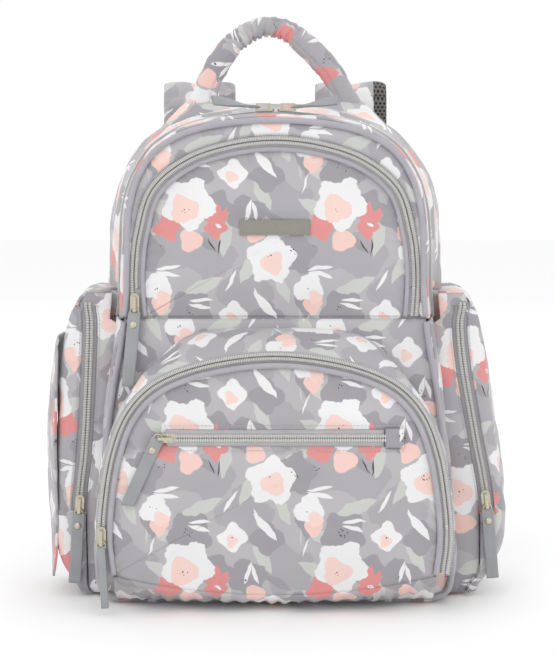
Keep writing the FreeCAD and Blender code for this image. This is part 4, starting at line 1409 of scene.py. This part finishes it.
def strap_part(name, sign, lo, hi, mesh_turn):
    """A length of strap between two points of its line. The mesh covers the inner side."""
    line, along, run = strap_line()
    rows, cut = [], []
    for i in range(lo, hi + 1):
        (y, z), (ay, az) = line[i], along[i]
        outside = Vector((0, -az, ay))
        mid = Vector((sign * STRAP_X, y + Y_SHIFT, z))
        row, flat = [], []
        for k in range(57):
            a = 2 * math.pi * k / 56
            c, s = math.cos(a), math.sin(a)
            x = math.copysign(abs(c) ** 0.42, c) * STRAP_WIDE / 2
            thick = math.copysign(abs(s) ** 0.62, s) * STRAP_THICK / 2
            thick *= 1 - 0.42 * math.exp(-(x / 0.0042) ** 2)
            soft = crumple((x, run[i], sign), 0.03, 0.0011, 91.0)
            row.append(mid + Vector((x, 0, 0)) + outside * (thick + soft * s))
            flat.append((x, run[i] + (0.3 if s < 0 else 0.0)))
        rows.append(row)
        cut.append(flat)
    piece = closed_tube(name, [(rows, cut)], PRINT_STRAP)
    piece.data.materials.append(SPACER)
    for face in piece.data.polygons:
        k = (face.index % 56) if len(face.vertices) == 4 else 14
        face.material_index = 1 if 29 <= k <= 55 or k <= mesh_turn else 0
    return piece


def straps():
    line, along = strap_line()[:2]
    low = next(i for i in range(len(line)) if line[i][1] > 0.3955)
    crest = int(np.argmax(line[:, 1]))
    for side, sign in (("left", -1), ("right", 1)):
        turn = 10 if sign > 0 else -1
        root = strap_part(side + "_strap_root_pad", sign, 0, low, turn)
        fix(root, "bag", "print_cloth", side + "_strap_root")
        bend = strap_part(side + "_strap_bend_pad", sign, low, crest, turn)
        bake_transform(bend)
        pad = strap_part(side + "_strap_pad", sign, crest, len(line) - 1, turn)
        fix(pad, side + "_strap_body", "print_cloth", side + "_strap")
        seam = [Vector((sign * STRAP_X, y + Y_SHIFT, z)) + Vector((0, -a[1], a[0])) * 0.0031
                for (y, z), a in zip(line, along)]
        stitches(side + "_root_seam", [seam[:low]], [FLAT_ACROSS], "bag")
        stitches(side + "_strap_seam", [seam[crest + 2:]], [FLAT_ACROSS], side + "_strap_body")


FLAT_ACROSS = (1, 0, 0)
straps()

webbing, web_tree, web_shader = material("ribbed_webbing", srgb(150, 148, 154), 0.7, Sheen_Weight=0.2)
web_axes = put(web_tree, "ShaderNodeSeparateXYZ", put(web_tree, "ShaderNodeUVMap", uv_map="cloth").outputs[0])
web_rib = calc(web_tree, "SINE", calc(web_tree, "MULTIPLY", web_axes.outputs[0], 3400.0))
web_pick = calc(web_tree, "SINE", calc(web_tree, "MULTIPLY", web_axes.outputs[1], 5200.0))
web_tone = put(web_tree, "ShaderNodeMapRange", web_rib, -1.0, 1.0, 0.0, 1.0)
web_mix = put(web_tree, "ShaderNodeMix", data_type="RGBA")
web_tree.links.new(web_tone.outputs[0], web_mix.inputs["Factor"])
web_mix.inputs[6].default_value, web_mix.inputs[7].default_value = srgb(132, 130, 137), srgb(166, 164, 170)
web_tree.links.new(web_mix.outputs[2], web_shader.inputs["Base Color"])
bump(web_tree, web_shader, calc(web_tree, "ADD", web_rib, calc(web_tree, "MULTIPLY", web_pick, 0.5)),
     0.7, 0.0004)
lock_plastic, lock_tree, lock_shader = material("lock_plastic", srgb(120, 119, 122), 0.42, Coat_Weight=0.1)
lock_spots = put(lock_tree, "ShaderNodeTexNoise", put(lock_tree, "ShaderNodeTexCoord").outputs["Object"])
lock_spots.inputs["Scale"].default_value = 1200.0
bump(lock_tree, lock_shader, lock_spots.outputs["Fac"], 0.25, 0.0001)


def strap_webbing():
    """25 mm webbing, threaded through the lock and sewn to a tab low on the back."""
    for side, sign in (("left", -1), ("right", 1)):
        top = Vector((sign * STRAP_X, 0.1050 + Y_SHIFT, 0.2150))
        lock = Vector((sign * STRAP_X, 0.1045 + Y_SHIFT, 0.1906))
        foot = Vector((sign * 0.1300, 0.0842 + Y_SHIFT, 0.0330))
        tail = Vector((sign * 0.1325, 0.0785 + Y_SHIFT, 0.0270))
        pts = smooth_line([tuple(top), tuple(lock), tuple(lock.lerp(foot, 0.5) + Vector((0, 0.002, 0))),
                           tuple(foot), tuple(tail)], 61)
        rows, cut, run = [], [], 0.0
        for i, p in enumerate(pts):
            run += float(np.linalg.norm(p - pts[i - 1])) if i else 0.0
            t = min(1.0, max(0.0, (run - 0.018) / 0.05))
            wide = Vector((1.0, 0, -0.42 * sign * t * -1)).normalized()
            rows.append([Vector(p) + wide * x for x in np.linspace(-0.0125, 0.0125, 9)])
            cut.append([(x, run) for x in np.linspace(-0.0125, 0.0125, 9)])
        piece = cloth(side + "_webbing_band", rows, cut, webbing, 0.0016, flip=True)
        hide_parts(side + "_webbing")
        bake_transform(piece)
        finish_node(side + "_ladder_lock", lock_plastic)


strap_webbing()

# ---------------------------------------------------------------------------------------
# Back and inside. The back is padded with quilted spacer mesh, a stiff board lies on the
# bag's floor, and thin grey cloth lines the main part and the upper pocket.
# ---------------------------------------------------------------------------------------
def back_padding():
    low, top, y = 0.066, 0.386, Y_BACK + 0.0034
    rows, cut = [], []
    channels = (0.172, 0.278)
    for b in np.linspace(0, 1, 97):
        z = low + (top - low) * b
        row, flat = [], []
        room = float(np.interp(z, [p[1] for p in BACK_RIM], [p[0] for p in BACK_RIM]))
        for a in np.linspace(-1, 1, 73):
            x = a * room
            edge = min(1.0, (1 - abs(a)) * room / 0.016, b * (top - low) / 0.014,
                       (1 - b) * (top - low) / 0.014)
            rise = 0.0080 * math.sin(math.pi / 2 * max(0.0, edge)) ** 0.6
            for c in channels:
                rise *= 1 - 0.72 * math.exp(-((z - c - 0.02 * math.cos(x * 12)) / 0.0055) ** 2)
            rise *= 1 - 0.72 * math.exp(-(x / 0.0055) ** 2)
            row.append(Vector((x, y + rise + crumple((x, 0, z), 0.04, 0.0008, 95.0) * edge + Y_SHIFT, z)))
            flat.append((x, z))
        rows.append(row)
        cut.append(flat)
    piece = cloth("back_padding_cloth", rows, cut, SPACER, 0.0012, flip=True)
    fix(piece, "bag", "mesh", "back_padding")


BACK_RIM = sorted(((x, z) for x, z in arch(REAR, 241, -0.0170) if x > 0.0), key=lambda p: p[1])
LINING = plain_cloth("lining_cloth", srgb(178, 176, 182), 0.7, 0.0008, 0.0001)


def lining_cloth():
    rows, cut = [], []
    ys = np.linspace(-0.0215, 0.0700, 15)
    for y in ys:
        t = (y - Y_FRONT) / (Y_BACK - Y_FRONT)
        line = moved(arch(FRONT, 201) * (1 - t) + arch(REAR, 201) * t, -0.0050)
        line = np.array([p for p in line if p[1] > 0.0090])
        low = [(x, 0.0090) for x in np.linspace(line[-1][0], line[0][0], 41)[1:]]
        ring = np.vstack([line, low])
        rows.append([Vector((x, y + Y_SHIFT, z)) for x, z in smooth_again(ring, 241)])
        cut.append([(r, y) for r in run_of(smooth_again(ring, 241))])
    fix(cloth("lining_wall", rows, cut, LINING, 0.0008, flip=True), "bag", "lining_cloth", "lining")
    inner = ring_rows(np.array([(p.x, p.z) for p in rows[-1]]), 0.0, 8, (0.0, 0.2), 0, 0, 0, 0, False)[0]
    inner = [[Vector((p.x, 0.0706 + Y_SHIFT, p.z)) for p in row] for row in inner]
    flat = [[(p.x, p.z) for p in row] for row in inner]
    fix(cloth("lining_back", inner, flat, LINING, 0.0008, flip=True), "bag", "lining_cloth")
    tray = smooth_again(arch(UPPER, 201, 0.0096), 201)
    tray = np.array([p for p in tray if p[1] > FOLD_Z + 0.0012])
    rows = [[Vector((x, y + Y_SHIFT, z)) for x, z in tray]
            for y in np.linspace(Y_FRONT + 0.0034, Y_FRONT + 0.0185, 4)]
    for k in (0.25, 0.5, 0.75, 0.98):
        rows.append([Vector((x * (1 - k), Y_FRONT + 0.0187 + Y_SHIFT,
                             FOLD_Z + 0.002 + (z - FOLD_Z - 0.002) * (1 - k)))
                     for x, z in tray])
    flat = [[(p.x, p.z) for p in row] for row in rows]
    fix(cloth("upper_pocket_tray", rows, flat, LINING, 0.0007, flip=True), "front_section", "lining_cloth",
        "upper_pocket_lining")


back_padding()
lining_cloth()
board, board_tree, board_shader = material("base_board", srgb(150, 140, 128), 0.8)
board_grain = put(board_tree, "ShaderNodeTexNoise", put(board_tree, "ShaderNodeTexCoord").outputs["Object"])
board_grain.inputs["Scale"].default_value = 500.0
bump(board_tree, board_shader, board_grain.outputs["Fac"], 0.3, 0.0002)
finish_node("base_board", board)
